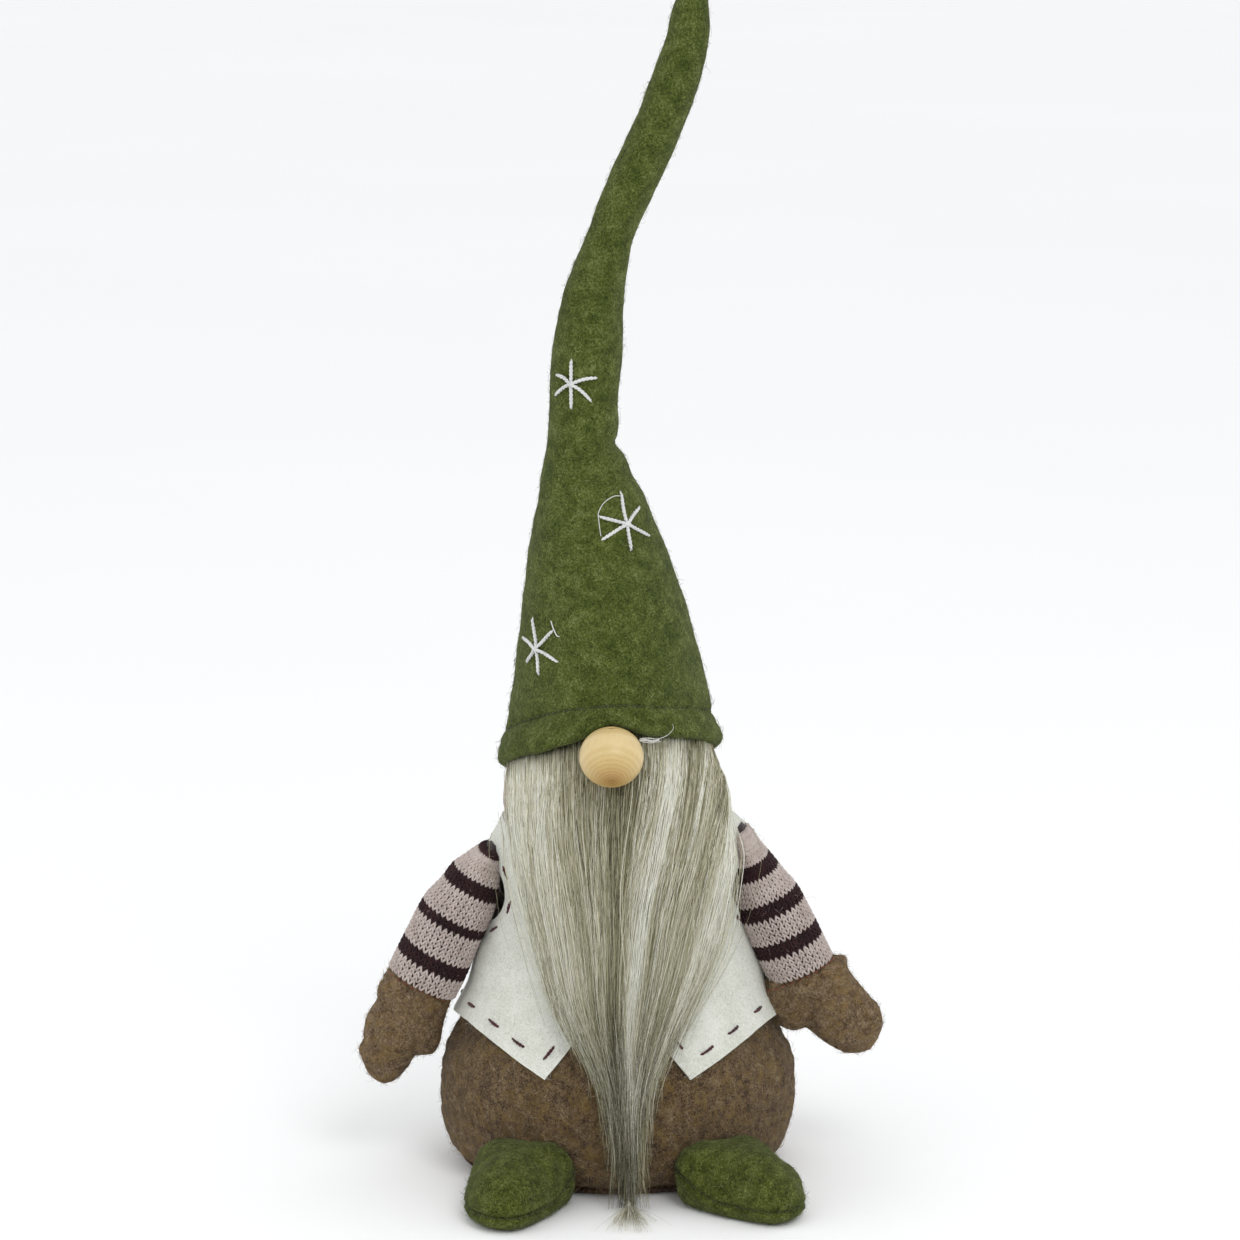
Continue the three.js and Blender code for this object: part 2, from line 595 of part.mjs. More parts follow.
/** Half of the mitten's felt skin: facing is -1 for the front half and +1 for the rear one. */
function mittenHalf(facing, hand) {
  const seamGap = new THREE.Vector3(0, facing * 0.2, 0);
  return bentSlab(8, MITTEN_ROWS.length - 1, (u, v, w) => {
    const t = MITTEN_ROWS[Math.round(v * (MITTEN_ROWS.length - 1))];
    return mittenPoint(facing * Math.PI * u, t, FELT * (1 - w), hand).add(seamGap);
  });
}

function addArm({ side, sign, pivot, sleeveAngle, mittenAngle }) {
  const shoulder = new THREE.Vector3(...pivot);
  const hang = (geometry, origin, degrees) => closed(geometry.clone()
    .applyMatrix4(new THREE.Matrix4().makeRotationY(-sign * degrees * DEGREE))
    .translate(origin.x, origin.y, origin.z));

  const seam = new THREE.CapsuleGeometry(SHOULDER_SEAM_RADIUS, SHOULDER_SEAM_LENGTH - 2 * SHOULDER_SEAM_RADIUS, 3, 10);
  piece(`shoulder_seam_${side}`, closed(seam.translate(shoulder.x, shoulder.y, shoulder.z)), "knit");

  const rows = steps(SLEEVE_START, SLEEVE_LENGTH, 7);
  const sleeve = [
    ...rows.map((along) => [along, 0]),
    ...rows.toReversed().map((along) => [along, -JERSEY]),
    [rows[0], 0],
  ];
  const sleeveShell = turned(sleeve, SLEEVE_SEGMENTS, (angle, [along, offset]) => sleevePoint(angle, along, offset));
  piece(`sleeve_${side}`, hang(sleeveShell, shoulder, sleeveAngle), "knit");
  const filling = [[rows[0], 0], ...rows.map((along) => [along, 1]), [rows.at(-1), 0]];
  const sleeveFilling = turned(filling, SLEEVE_SEGMENTS, (angle, [along, fraction]) => (
    sleevePoint(angle, along, -JERSEY - GAP, fraction)));
  piece(`sleeve_stuffing_${side}`, hang(sleeveFilling, shoulder, sleeveAngle), "stuffing");

  const reach = SLEEVE_LENGTH + WRIST_GAP;
  const wrist = shoulder.clone().add(new THREE.Vector3(
    sign * reach * Math.sin(sleeveAngle * DEGREE),
    0,
    -reach * Math.cos(sleeveAngle * DEGREE),
  ));
  const hand = { thumbSign: -sign, bend: sign * (mittenAngle - sleeveAngle) * DEGREE };
  piece(`mitten_rear_${side}`, hang(mittenHalf(1, hand), wrist, mittenAngle), "bodyFelt");
  piece(`mitten_front_${side}`, hang(mittenHalf(-1, hand), wrist, mittenAngle), "bodyFelt");
  const mittenProfile = [[0, 0], ...MITTEN_ROWS.slice(0, -1).map((t) => [t, 1]), [1, 0]];
  const mittenFilling = turned(mittenProfile, 12, (angle, [t, fraction]) => (
    mittenPoint(angle, t, STUFFING_GAP, hand, fraction)));
  piece(`mitten_stuffing_${side}`, hang(mittenFilling, wrist, mittenAngle), "stuffing");
}

// ---- Feet: a domed upper sewn to a flat sole round its edge, against the body's front ----

/** Foot point in its own frame: the heel is at the origin and the toe points along +X. */
function footPoint(angle, fraction, offset, z) {
  const length = FOOT_LENGTH / 2;
  return new THREE.Vector3(
    length + fraction * (length + offset) * Math.cos(angle),
    fraction * (FOOT_WIDTH / 2 + offset) * Math.sin(angle),
    z,
  );
}

function addFoot({ side, heel, toeOut }) {
  const dome = (fraction, lowering) => (
    FOOT_SEAM_HEIGHT + (FOOT_HEIGHT - FOOT_SEAM_HEIGHT - lowering) * Math.sqrt(1 - fraction ** 2));
  const place = (angle, [fraction, offset, z]) => footPoint(angle, fraction, offset, z);
  const reach = [0, 0.35, 0.62, 0.82, 0.94, 1];
  const upper = [
    ...reach.map((fraction) => [fraction, 0, dome(fraction, 0)]),
    ...reach.toReversed().map((fraction) => [fraction, -FELT, dome(fraction, FELT)]),
  ];
  const seamGap = FOOT_SEAM_HEIGHT - GAP;
  const sole = [[0, 0, 0], [0.86, 0, 0], [0.96, 0, 2.2], [1, 0, seamGap],
    [1, -FELT, seamGap], [0.96, -FELT, 3.4], [0.86, -FELT, FELT], [0, 0, FELT]];
  const filling = [[0, 0, FELT + GAP], [0.85, -2 * FELT, FELT + GAP], [1, -2 * FELT, FOOT_SEAM_HEIGHT],
    ...reach.toReversed().map((fraction) => [fraction, -2 * FELT, dome(fraction, FELT + GAP)])];

  const body = bodySolid(-5, 60, 2 * GAP, 14, 2 * BODY_SEGMENTS);
  const direction = toeOut * DEGREE + FRONT;
  const fit = (profile) => cut(closed(turned(profile, FOOT_SEGMENTS, place)
    .applyMatrix4(new THREE.Matrix4().makeRotationZ(direction))
    .translate(heel[0], heel[1], 0)), body);
  piece(`foot_upper_${side}`, fit(upper), "footFelt");
  piece(`foot_sole_${side}`, fit(sole), "footFelt");
  piece(`foot_stuffing_${side}`, fit(filling), "stuffing");
}

// ---- Assembly ----

addBody();
addHead();
addVest();
addHat();
addBeard();
addNose();
ARMS.forEach(addArm);
FEET.forEach(addFoot);

export default gnome;
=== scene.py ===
"""A felt gnome with a tall bendable hat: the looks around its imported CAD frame.

The shapes are worked out in millimetres and become metres when a mesh is made. The figure faces -Y, and its
own left hand is on the +X side. Angles round the figure start at +X and turn towards +Y, so that the front is
at -90 degrees.
"""

import math

import bmesh
import bpy
import numpy as np
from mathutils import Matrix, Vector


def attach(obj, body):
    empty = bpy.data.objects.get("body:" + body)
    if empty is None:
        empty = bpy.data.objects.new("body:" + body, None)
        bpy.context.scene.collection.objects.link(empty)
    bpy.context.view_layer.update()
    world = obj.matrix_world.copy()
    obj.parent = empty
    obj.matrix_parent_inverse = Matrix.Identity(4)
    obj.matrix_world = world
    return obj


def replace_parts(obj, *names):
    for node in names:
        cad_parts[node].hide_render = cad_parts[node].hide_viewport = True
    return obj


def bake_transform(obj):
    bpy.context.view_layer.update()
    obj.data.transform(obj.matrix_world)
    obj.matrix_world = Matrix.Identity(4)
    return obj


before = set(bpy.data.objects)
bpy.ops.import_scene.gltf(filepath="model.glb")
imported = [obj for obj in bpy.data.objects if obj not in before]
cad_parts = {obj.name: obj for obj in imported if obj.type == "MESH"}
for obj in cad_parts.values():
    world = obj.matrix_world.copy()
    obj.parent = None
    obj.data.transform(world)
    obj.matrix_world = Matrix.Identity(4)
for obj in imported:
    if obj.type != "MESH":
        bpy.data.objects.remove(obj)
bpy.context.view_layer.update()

MM = 0.001
TURN = 2 * math.pi
FRONT = -math.pi / 2
DEGREE = math.pi / 180


# ---- Numbers, curves and noise ----


def smooth_keys(keys):
    """A smooth function through [position, value] keys: cubic pieces with averaged slopes."""
    at, value = np.array(keys, float).T
    before = np.r_[0, np.arange(len(at) - 1)]
    after = np.r_[np.arange(1, len(at)), len(at) - 1]
    slope = (value[after] - value[before]) / (at[after] - at[before])

    def curve(position):
        t = np.clip(np.asarray(position, float), at[0], at[-1])
        i = np.clip(np.searchsorted(at, t, side="left") - 1, 0, len(at) - 2)
        span, rise = at[i + 1] - at[i], value[i + 1] - value[i]
        s = (t - at[i]) / span
        bend_start, bend_end = slope[i] * span - rise, rise - slope[i + 1] * span
        return value[i] + rise * s + s * (1 - s) * (bend_start * (1 - s) + bend_end * s)

    return curve


def smoothstep(low, high, value):
    t = np.clip((np.asarray(value, float) - low) / (high - low), 0, 1)
    return t * t * (3 - 2 * t)


def mix(a, b, share):
    return a + (b - a) * share


def hump(distance, width):
    """A bell that is 1 at no distance and fades out over about twice its width."""
    return np.exp(-((distance / width) ** 2))


NOISE_CELLS = 32
NOISE_GRID = np.random.default_rng(7).uniform(-1, 1, (NOISE_CELLS,) * 3)


def noise(points, size, seed=0):
    """Smooth noise from -1 to 1 whose lumps are about size mm across."""
    p = np.asarray(points, float) / size + seed * 7.31
    cell = np.floor(p).astype(int)
    f = p - cell
    f = f * f * (3 - 2 * f)
    total = np.zeros(p.shape[:-1])
    for corner in np.ndindex(2, 2, 2):
        weight = np.prod(np.where(corner, f, 1 - f), axis=-1)
        i, j, k = np.moveaxis((cell + np.array(corner)) % NOISE_CELLS, -1, 0)
        total += weight * NOISE_GRID[i, j, k]
    return total


def lumps(points, *layers):
    """Noise in layers, each with its height, its size and its seed."""
    return sum(height * noise(points, size, seed) for height, size, seed in layers)


def unit(vectors):
    return vectors / np.maximum(np.linalg.norm(vectors, axis=-1, keepdims=True), 1e-9)


def stack(*parts):
    return np.stack(np.broadcast_arrays(*parts), -1).astype(float)


def full_turn(count):
    """One row of angles, evenly spaced all the way round."""
    return np.linspace(0, TURN, count, endpoint=False)[None, :]


def from_zero(angle):
    """The same angle, between half a turn below zero and half a turn above."""
    return (np.asarray(angle) + math.pi) % TURN - math.pi


# ---- Meshes ----


def mesh_object(name, points, faces, material, sharp=None):
    """A smooth mesh from points in mm and a list of face index arrays, one for each number of corners."""
    faces = [np.asarray(group, np.int32) for group in faces if len(group)]
    corners = np.concatenate([group.ravel() for group in faces])
    sizes = np.concatenate([np.full(len(group), group.shape[1]) for group in faces])
    mesh = bpy.data.meshes.new(name)
    mesh.vertices.add(len(points))
    mesh.vertices.foreach_set("co", (np.asarray(points) * MM).astype(np.float32).ravel())
    mesh.loops.add(len(corners))
    mesh.loops.foreach_set("vertex_index", corners)
    mesh.polygons.add(len(sizes))
    mesh.polygons.foreach_set("loop_start", np.r_[0, np.cumsum(sizes)[:-1]].astype(np.int32))
    mesh.polygons.foreach_set("use_smooth", np.ones(len(sizes), bool))
    mesh.update(calc_edges=True)
    mesh.validate()
    if sharp:
        mesh.set_sharp_from_angle(angle=sharp * DEGREE)
    mesh.materials.append(material)
    made = bpy.data.objects.new(name, mesh)
    bpy.context.scene.collection.objects.link(made)
    return made


def facing_out(obj):
    """Turns the faces of a closed mesh outwards."""
    work = bmesh.new()
    work.from_mesh(obj.data)
    bmesh.ops.recalc_face_normals(work, faces=work.faces)
    work.to_mesh(obj.data)
    work.free()
    return obj


def grid_quads(index):
    return np.stack([index[:-1, :-1], index[:-1, 1:], index[1:, 1:], index[1:, :-1]], -1).reshape(-1, 4)


def shell(name, outer, inner, wrap, material, sharp):
    """A closed skin between two grids of points; wrap joins their last columns to their first."""
    rows, columns = outer.shape[:2]
    index = np.arange(rows * columns).reshape(rows, columns)
    if wrap:
        index = np.column_stack([index, index[:, 0]])
    inside = index + rows * columns
    quads = [grid_quads(index), grid_quads(inside)[:, ::-1]]
    edges = [(0, slice(None)), (-1, slice(None))] + ([] if wrap else [(slice(None), 0), (slice(None), -1)])
    quads += [grid_quads(np.stack([index[edge], inside[edge]])) for edge in edges]
    points = np.concatenate([outer.reshape(-1, 3), inner.reshape(-1, 3)])
    return facing_out(mesh_object(name, points, [np.concatenate(quads)], material, sharp))


def ring_numbers(rings):
    """The vertex numbers of rings of points, with each ring's first one again at its end."""
    index = np.arange(rings.shape[0] * rings.shape[1]).reshape(rings.shape[:2])
    return np.column_stack([index, index[:, 0]])


def closed_rings(name, rings, material, sharp=None):
    """A closed surface through rings of points, with each end drawn to its ring's middle."""
    rows, columns = rings.shape[:2]
    index = ring_numbers(rings)
    first, last = rows * columns, rows * columns + 1
    points = np.concatenate([rings.reshape(-1, 3), [rings[0].mean(0)], [rings[-1].mean(0)]])
    fans = [
        np.stack([index[0, 1:], index[0, :-1], np.full(columns, first)], -1),
        np.stack([index[-1, :-1], index[-1, 1:], np.full(columns, last)], -1),
    ]
    faces = [grid_quads(index), np.concatenate(fans)]
    return facing_out(mesh_object(name, points, faces, material, sharp))


def tubes(name, paths, radii, material, sides=3, tone=None):
    """Closed tubes along many paths at once: paths is (count, points, 3) and radii is (count, points)."""
    count, length = paths.shape[:2]
    radii = np.broadcast_to(radii, (count, length))
    along = unit(np.gradient(paths, axis=1))
    whole = unit(paths[:, -1] - paths[:, 0])
    aside = np.where(np.abs(whole[:, 1:2]) < 0.8, [[0.13, 1, 0.21]], [[1, 0.17, 0.11]])
    across = unit(np.cross(along, aside[:, None, :]))
    up = np.cross(across, along)
    turn = np.arange(sides) * TURN / sides
    ring = across[:, :, None] * np.cos(turn)[:, None] + up[:, :, None] * np.sin(turn)[:, None]
    points = (paths[:, :, None] + radii[:, :, None, None] * ring).reshape(-1, 3)
    index = np.arange(count * length * sides).reshape(count, length, sides)
    after = np.roll(index, -1, axis=2)
    quads = np.stack([index[:, :-1], after[:, :-1], after[:, 1:], index[:, 1:]], -1).reshape(-1, 4)
    ends = np.concatenate([index[:, 0, ::-1], index[:, -1]])
    made = mesh_object(name, points, [quads, ends], material)
    if tone is not None:
        shade = np.repeat(np.broadcast_to(tone, (count, length)).ravel(), sides)
        made.data.attributes.new("tone", "FLOAT", "POINT").data.foreach_set("value", shade.astype(np.float32))
    return made


def read_points(obj):
    """The vertices of a mesh in mm, and their normals."""
    mesh = obj.data
    points = np.empty(len(mesh.vertices) * 3, np.float32)
    normals = np.empty(len(mesh.vertices) * 3, np.float32)
    mesh.vertices.foreach_get("co", points)
    mesh.vertex_normals.foreach_get("vector", normals)
    return points.reshape(-1, 3).astype(float) / MM, normals.reshape(-1, 3).astype(float)


def write_points(obj, points):
    obj.data.vertices.foreach_set("co", (points * MM).astype(np.float32).ravel())
    obj.data.update()


def applied(obj, kind, **settings):
    """Adds a modifier and applies it."""
    modifier = obj.modifiers.new(kind, kind)
    for key, value in settings.items():
        setattr(modifier, key, value)
    depsgraph = bpy.context.evaluated_depsgraph_get()
    mesh = bpy.data.meshes.new_from_object(obj.evaluated_get(depsgraph))
    obj.modifiers.clear()
    obj.data = mesh
    mesh.polygons.foreach_set("use_smooth", np.ones(len(mesh.polygons), bool))
    return obj


def inflated(obj, voxel, cap, pinned, enlarge=1.0, levels=1):
    """Blows a closed skin up as cloth that is held at its seams, and subdivides it.

    voxel is the cloth's mesh size and cap the furthest a point may move, in mm. pinned(points) tells how
    firmly each point is held, from 0 to 1. A small piece is simulated enlarged, so that it bends as cloth.
    """
    applied(obj, "REMESH", mode="VOXEL", voxel_size=voxel * MM)
    start, _ = read_points(obj)
    write_points(obj, start * enlarge)
    group = obj.vertex_groups.new(name="held")
    for i, weight in enumerate(pinned(start)):
        group.add([i], float(weight), "REPLACE")
    cloth = obj.modifiers.new("Cloth", "CLOTH")
    settings = cloth.settings
    settings.quality = 6
    settings.mass = 0.3
    settings.tension_stiffness = settings.compression_stiffness = 15
    settings.bending_stiffness = 1.0
    settings.use_pressure = True
    settings.uniform_pressure_force = 4.0
    settings.effector_weights.gravity = 0
    settings.vertex_group_mass = group.name
    settings.shrink_min = -0.02
    scene = bpy.context.scene
    for number in range(1, 21):
        scene.frame_set(number)
    blown = obj.evaluated_get(bpy.context.evaluated_depsgraph_get()).data
    moved = np.empty(len(blown.vertices) * 3, np.float32)
    blown.vertices.foreach_get("co", moved)
    obj.modifiers.clear()
    obj.vertex_groups.clear()
    scene.frame_set(1)
    step = moved.reshape(-1, 3) / MM / enlarge - start
    far = np.linalg.norm(step, axis=1, keepdims=True)
    write_points(obj, start + step * np.minimum(1, cap / np.maximum(far, 1e-9)))
    return applied(obj, "SUBSURF", levels=levels)


def fuzz(name, obj, count, length, lift, radius, material, slot, seed, keep=None, tone=0.5):
    """Loose fibres that lie on and stand off a surface, as closed tapered hairs.

    They are about length mm long and radius mm thick, and lift is how steeply they rise. keep(centres,
    normals) chooses the faces that have them.
    """
    rng = np.random.default_rng(seed)
    mesh = obj.data
    faces = len(mesh.polygons)
    area, centre, normal = np.empty(faces), np.empty(faces * 3), np.empty(faces * 3)
    mesh.polygons.foreach_get("area", area)
    mesh.polygons.foreach_get("center", centre)
    mesh.polygons.foreach_get("normal", normal)
    centre, normal = centre.reshape(-1, 3) / MM, normal.reshape(-1, 3)
    if keep is not None:
        area = area * keep(centre, normal)
    chosen = rng.choice(faces, count, p=area / area.sum())
    root, out = centre[chosen] + rng.normal(0, 0.3, (count, 3)), normal[chosen]
    root -= out * 0.15
    aside = unit(np.cross(out, rng.normal(size=(count, 3))))
    other = np.cross(out, aside)
    reach = length * rng.uniform(0.45, 1.3, count)
    stand = lift * rng.exponential(1.0, count)
    curl = rng.normal(0, 0.5, count)
    t = np.linspace(0, 1, 5)[None, :, None]
    forward, sideways = reach[:, None, None], (curl * reach)[:, None, None]
    height = (stand * reach)[:, None, None]
    paths = root[:, None] + aside[:, None] * forward * t + other[:, None] * sideways * t * t
    paths = paths + out[:, None] * (0.12 + height * np.sin(t * 2.2))
    thick = radius * rng.uniform(0.7, 1.2, (count, 1)) * (1 - 0.75 * t[:, :, 0] ** 2)
    shade = np.clip(tone + rng.normal(0, 0.22, (count, 1)), 0, 1)
    return tubes(name, paths, thick, material, tone=shade)


# ---- Materials ----

WAVE = TURN / 20  # a wave texture of this scale has one band in each unit of length


def srgb(red, green, blue):
    """A colour given as on a screen, 0 to 255, in the linear numbers that a node takes."""
    c = np.array([red, green, blue]) / 255
    return (*np.where(c <= 0.04045, c / 12.92, ((c + 0.055) / 1.055) ** 2.4), 1.0)


def node(tree, kind, inputs=None, **settings):
    made = tree.nodes.new("ShaderNode" + kind)
    for key, value in settings.items():
        setattr(made, key, value)
    for key, value in (inputs or {}).items():
        if isinstance(value, bpy.types.NodeSocket):
            tree.links.new(value, made.inputs[key])
        else:
            made.inputs[key].default_value = value
    return made


def maths(tree, operation, a, b=0.0):
    return node(tree, "Math", {0: a, 1: b}, operation=operation).outputs[0]


def ramp(tree, value, stops):
    made = node(tree, "ValToRGB", {"Fac": value})
    elements = made.color_ramp.elements
    elements.remove(elements[1])
    elements[0].position, elements[0].color = stops[0][0], srgb(*stops[0][1])
    for position, colour in stops[1:]:
        elements.new(position).color = srgb(*colour)
    return made.outputs["Color"]


def cloudy(tree, at, size, detail=3.0, roughness=0.55, distortion=0.0):
    """Noise from 0 to 1 whose lumps are about size mm across."""
    inputs = {"Vector": at, "Scale": 1 / (size * MM), "Detail": detail, "Roughness": roughness}
    return node(tree, "TexNoise", {**inputs, "Distortion": distortion}).outputs[0]


def threads(tree, at, size, distortion=2.0):
    """Thin tangled lines, about size mm apart: 1 on a line, and less away from it."""
    clouds = cloudy(tree, at, size, 2.0, 0.6, distortion)
    ridge = maths(tree, "ABSOLUTE", maths(tree, "SUBTRACT", clouds, 0.5))
    return maths(tree, "SUBTRACT", 1.0, maths(tree, "MULTIPLY", ridge, 5.0))


def weighted(tree, *pairs):
    """The sum of values, each times its weight."""
    total = 0.0
    for value, weight in pairs:
        total = node(tree, "Math", {0: value, 1: weight, 2: total}, operation="MULTIPLY_ADD").outputs[0]
    return total


def start_material(name, **values):
    """A new material, with uniform values set on its shader's own sockets."""
    material = bpy.data.materials.new(name)
    material.use_nodes = True
    shader = material.node_tree.nodes["Principled BSDF"]
    for key, value in values.items():
        shader.inputs[key.replace("_", " ")].default_value = value
    tree = material.node_tree
    return material, tree, shader, node(tree, "TexCoord").outputs["Object"]


def set_surface(tree, shader, colour, height, relief, strength=1.0, roughness=None):
    """Links a colour, a relief of that many mm, and a roughness to a shader."""
    tree.links.new(colour, shader.inputs["Base Color"])
    bump = node(tree, "Bump", {"Strength": strength, "Distance": relief * MM, "Height": height})
    tree.links.new(bump.outputs[0], shader.inputs["Normal"])
    if roughness is not None:
        tree.links.new(roughness, shader.inputs["Roughness"])


FELT_MEAN = 0.916  # the mean of the weighted layers of felt, which contrast spreads round FELT_MIDDLE
FELT_MIDDLE = 0.47


def felt(name, stops, patch, fibre=1.5, relief=0.5, contrast=1.0, fleck=None):
    """Wool felt: cloudy patches, tangled paler fibres, a fine grain and, for heather, flecks."""
    material, tree, shader, at = start_material(
        name, Roughness=0.96, Sheen_Weight=0.05, Sheen_Roughness=0.5, Specular_IOR_Level=0.15
    )
    patches = cloudy(tree, at, patch, 4.0, 0.6)
    tangle = threads(tree, at, fibre)
    curls = threads(tree, at, fibre * 2.4, 3.5)
    grain = cloudy(tree, at, 0.8, 3.0, 0.65, 0.6)
    shares = (patches, 0.6), (tangle, 0.2), (curls, 0.16), (grain, 0.8)
    value = weighted(tree, *((part, share * contrast) for part, share in shares))
    value = maths(tree, "ADD", value, FELT_MIDDLE - FELT_MEAN * contrast)
    colour = ramp(tree, value, stops)
    if fleck:
        wisps = threads(tree, at, fibre * 1.7, 3.0)
        spots = cloudy(tree, at, 5.5, 3.0, 0.7, 0.8)
        share = weighted(tree, (wisps, 0.55), (spots, 1.6))
        share = node(tree, "MapRange", {0: share, 1: 1.14, 2: 1.7, 4: 0.85}).outputs[0]
        blend = node(tree, "Mix", {0: share, 6: colour, 7: srgb(*fleck)}, data_type="RGBA")
        colour = blend.outputs[2]
    height = weighted(tree, (tangle, 0.35), (grain, 0.9))
    dry = node(tree, "MapRange", {0: patches, 1: 0.3, 2: 0.7, 3: 0.9, 4: 1.0}).outputs[0]
    set_surface(tree, shader, colour, height, relief, 0.9, dry)
    return material


def fibre_material(name, stops, roughness=0.8, specular=0.1):
    """Loose fibre or hair: its colour follows the fibre's tone attribute, which for the beard holds painted
    shade as well as the fur's own tone, with faint streaks along it.
    """
    material, tree, shader, at = start_material(name, Roughness=roughness, Specular_IOR_Level=specular)
    tone = node(tree, "Attribute", attribute_name="tone").outputs["Fac"]
    long_way = node(tree, "Mapping", {"Vector": at, "Scale": (1, 1, 0.12)}).outputs[0]
    streaks = cloudy(tree, long_way, 1.1, 3.0)
    value = weighted(tree, (tone, 1.0), (streaks, 0.35))
    value = maths(tree, "SUBTRACT", value, 0.175)
    set_surface(tree, shader, ramp(tree, value, stops), streaks, 0.05, 0.6)
    return material


def yarn(name, dark, mid, light, size=0.55, sheen=0.2):
    """Spun yarn: fine fibres wound along it, and a dusty halo."""
    material, tree, shader, at = start_material(
        name, Roughness=0.93, Sheen_Weight=sheen, Sheen_Roughness=0.5, Specular_IOR_Level=0.2
    )
    spun = threads(tree, at, size, 1.2)
    grain = cloudy(tree, at, 0.35, 3.0, 0.7)
    worn = cloudy(tree, at, 6.0, 2.0)
    value = weighted(tree, (spun, 0.16), (grain, 0.5), (worn, 0.3))
    colour = ramp(tree, value, [(0.28, dark), (0.5, mid), (0.72, light)])
    set_surface(tree, shader, colour, weighted(tree, (spun, 0.4), (grain, 0.8)), 0.22, 0.9)
    return material


def knitted(name, dark, mid, light, wale=1.1):
    """A fine jersey knit: rows of small loops in the relief and in the colour, which is darker in their
    hollows as painted shade, and a soft mottle.
    """
    material, tree, shader, at = start_material(
        name, Roughness=0.94, Sheen_Weight=0.2, Specular_IOR_Level=0.15
    )
    around = node(tree, "TexGradient", {"Vector": at}, gradient_type="RADIAL").outputs["Fac"]
    turned = maths(tree, "MULTIPLY", around, round(TURN * 40 / wale) * TURN)
    columns = weighted(tree, (maths(tree, "SINE", turned), 0.5), (1.0, 0.5))
    wobbly = {"Distortion": 0.6, "Detail": 2.0, "Detail Scale": 3.0, "Scale": WAVE * 1.35 / (wale * MM)}
    courses = node(tree, "TexWave", {"Vector": at, **wobbly}, bands_direction="Z").outputs["Fac"]
    grain = cloudy(tree, at, 0.8, 3.0, 0.7)
    # The loops' columns and rows darken the colour in their hollows: painted shade; the grain is the yarn's
    # own mottle.
    value = weighted(tree, (columns, 0.2), (courses, 0.2), (grain, 0.6))
    colour = ramp(tree, value, [(0.3, dark), (0.5, mid), (0.7, light)])
    set_surface(tree, shader, colour, value, 0.4, 0.8)
    return material


def turned_wood(name, centre, radius, droop):
    """Pale lacquered wood: short pores, growth rings round a pith that droops from straight ahead, and
    painted shade: the colour darkens towards the pith, which comes out low on the bead's front.
    """
    material, tree, shader, at = start_material(
        name, Roughness=0.42, Coat_Weight=0.25, Coat_Roughness=0.3, Specular_IOR_Level=0.4
    )
    middle = tuple(value * MM for value in centre)
    moved = node(tree, "VectorMath", {0: at, 1: middle}, operation="SUBTRACT").outputs[0]
    turn_up = {"Vector": moved, "Axis": (1, 0, 0), "Angle": math.pi / 2 - droop}
    turned = node(tree, "VectorRotate", turn_up).outputs[0]
    wobbly = {"Distortion": 1.6, "Detail": 2.0, "Detail Scale": 1.1, "Scale": WAVE / (1.25 * MM)}
    rings = {"Vector": turned, **wobbly}
    growth = node(tree, "TexWave", rings, wave_type="RINGS", rings_direction="Z").outputs["Fac"]
    long_way = node(tree, "Mapping", {"Vector": turned, "Scale": (1, 1, 0.1)}).outputs[0]
    pores = cloudy(tree, long_way, 0.6, 3.0, 0.7)
    flat = node(tree, "VectorMath", {0: turned, 1: (1, 1, 0)}, operation="MULTIPLY").outputs[0]
    # The colour lightens away from the pith, which comes out low on the bead's front: painted shade on the
    # bead's lower part.
    shade_from_pith = node(tree, "VectorMath", {0: flat}, operation="LENGTH").outputs["Value"]
    value = weighted(tree, (growth, 0.06), (pores, 0.14), (shade_from_pith, 0.42 / (radius * MM)))
    stops = [(0.1, (146, 106, 52)), (0.24, (172, 137, 77)), (0.4, (193, 166, 109)), (0.56, (214, 191, 140))]
    relief = weighted(tree, (growth, 0.3), (pores, 0.7))
    set_surface(tree, shader, ramp(tree, value, stops), relief, 0.05, 0.5)
    return material


HAT_GREENS = [(0.26, (40, 50, 12)), (0.42, (62, 73, 24)), (0.55, (82, 92, 38)), (0.78, (124, 132, 82))]
FOOT_GREENS = [(0.26, (38, 44, 8)), (0.42, (58, 65, 17)), (0.55, (80, 87, 31)), (0.78, (120, 127, 74))]
BODY_HEATHER = [(0.27, (46, 33, 24)), (0.42, (80, 64, 48)), (0.56, (110, 91, 68)), (0.76, (150, 131, 104))]
MITTEN_HEATHER = [(0.27, (62, 47, 35)), (0.42, (98, 79, 60)), (0.56, (128, 108, 84)), (0.76, (166, 147, 122))]
VEST_WHITES = [(0.25, (188, 189, 178)), (0.5, (212, 213, 203)), (0.75, (228, 229, 221))]
GREEN_FIBRES = [(0, (60, 70, 26)), (0.5, (104, 114, 62)), (1, (146, 152, 106))]
HEATHER_FIBRES = [(0, (52, 38, 27)), (0.35, (100, 78, 50)), (0.6, (150, 122, 70)), (1, (178, 164, 136))]
WHITE_FIBRES = [(0, (190, 190, 180)), (1, (236, 236, 230))]
KNIT_FIBRES = [(0, (120, 104, 98)), (1, (214, 200, 194))]
BEARD_GREYS = [(0, (242, 242, 230)), (0.25, (220, 216, 194)), (0.5, (182, 177, 145)), (0.75, (126, 122, 92)),
               (1, (66, 64, 53))]
HEATHER = {"patch": 4, "fibre": 1.3, "relief": 0.8}
hat_felt = felt("hat_felt_olive", HAT_GREENS, patch=6)
foot_felt = felt("foot_felt_green", FOOT_GREENS, patch=5)
body_felt = felt("body_felt_heather", BODY_HEATHER, fleck=(132, 106, 54), **HEATHER)
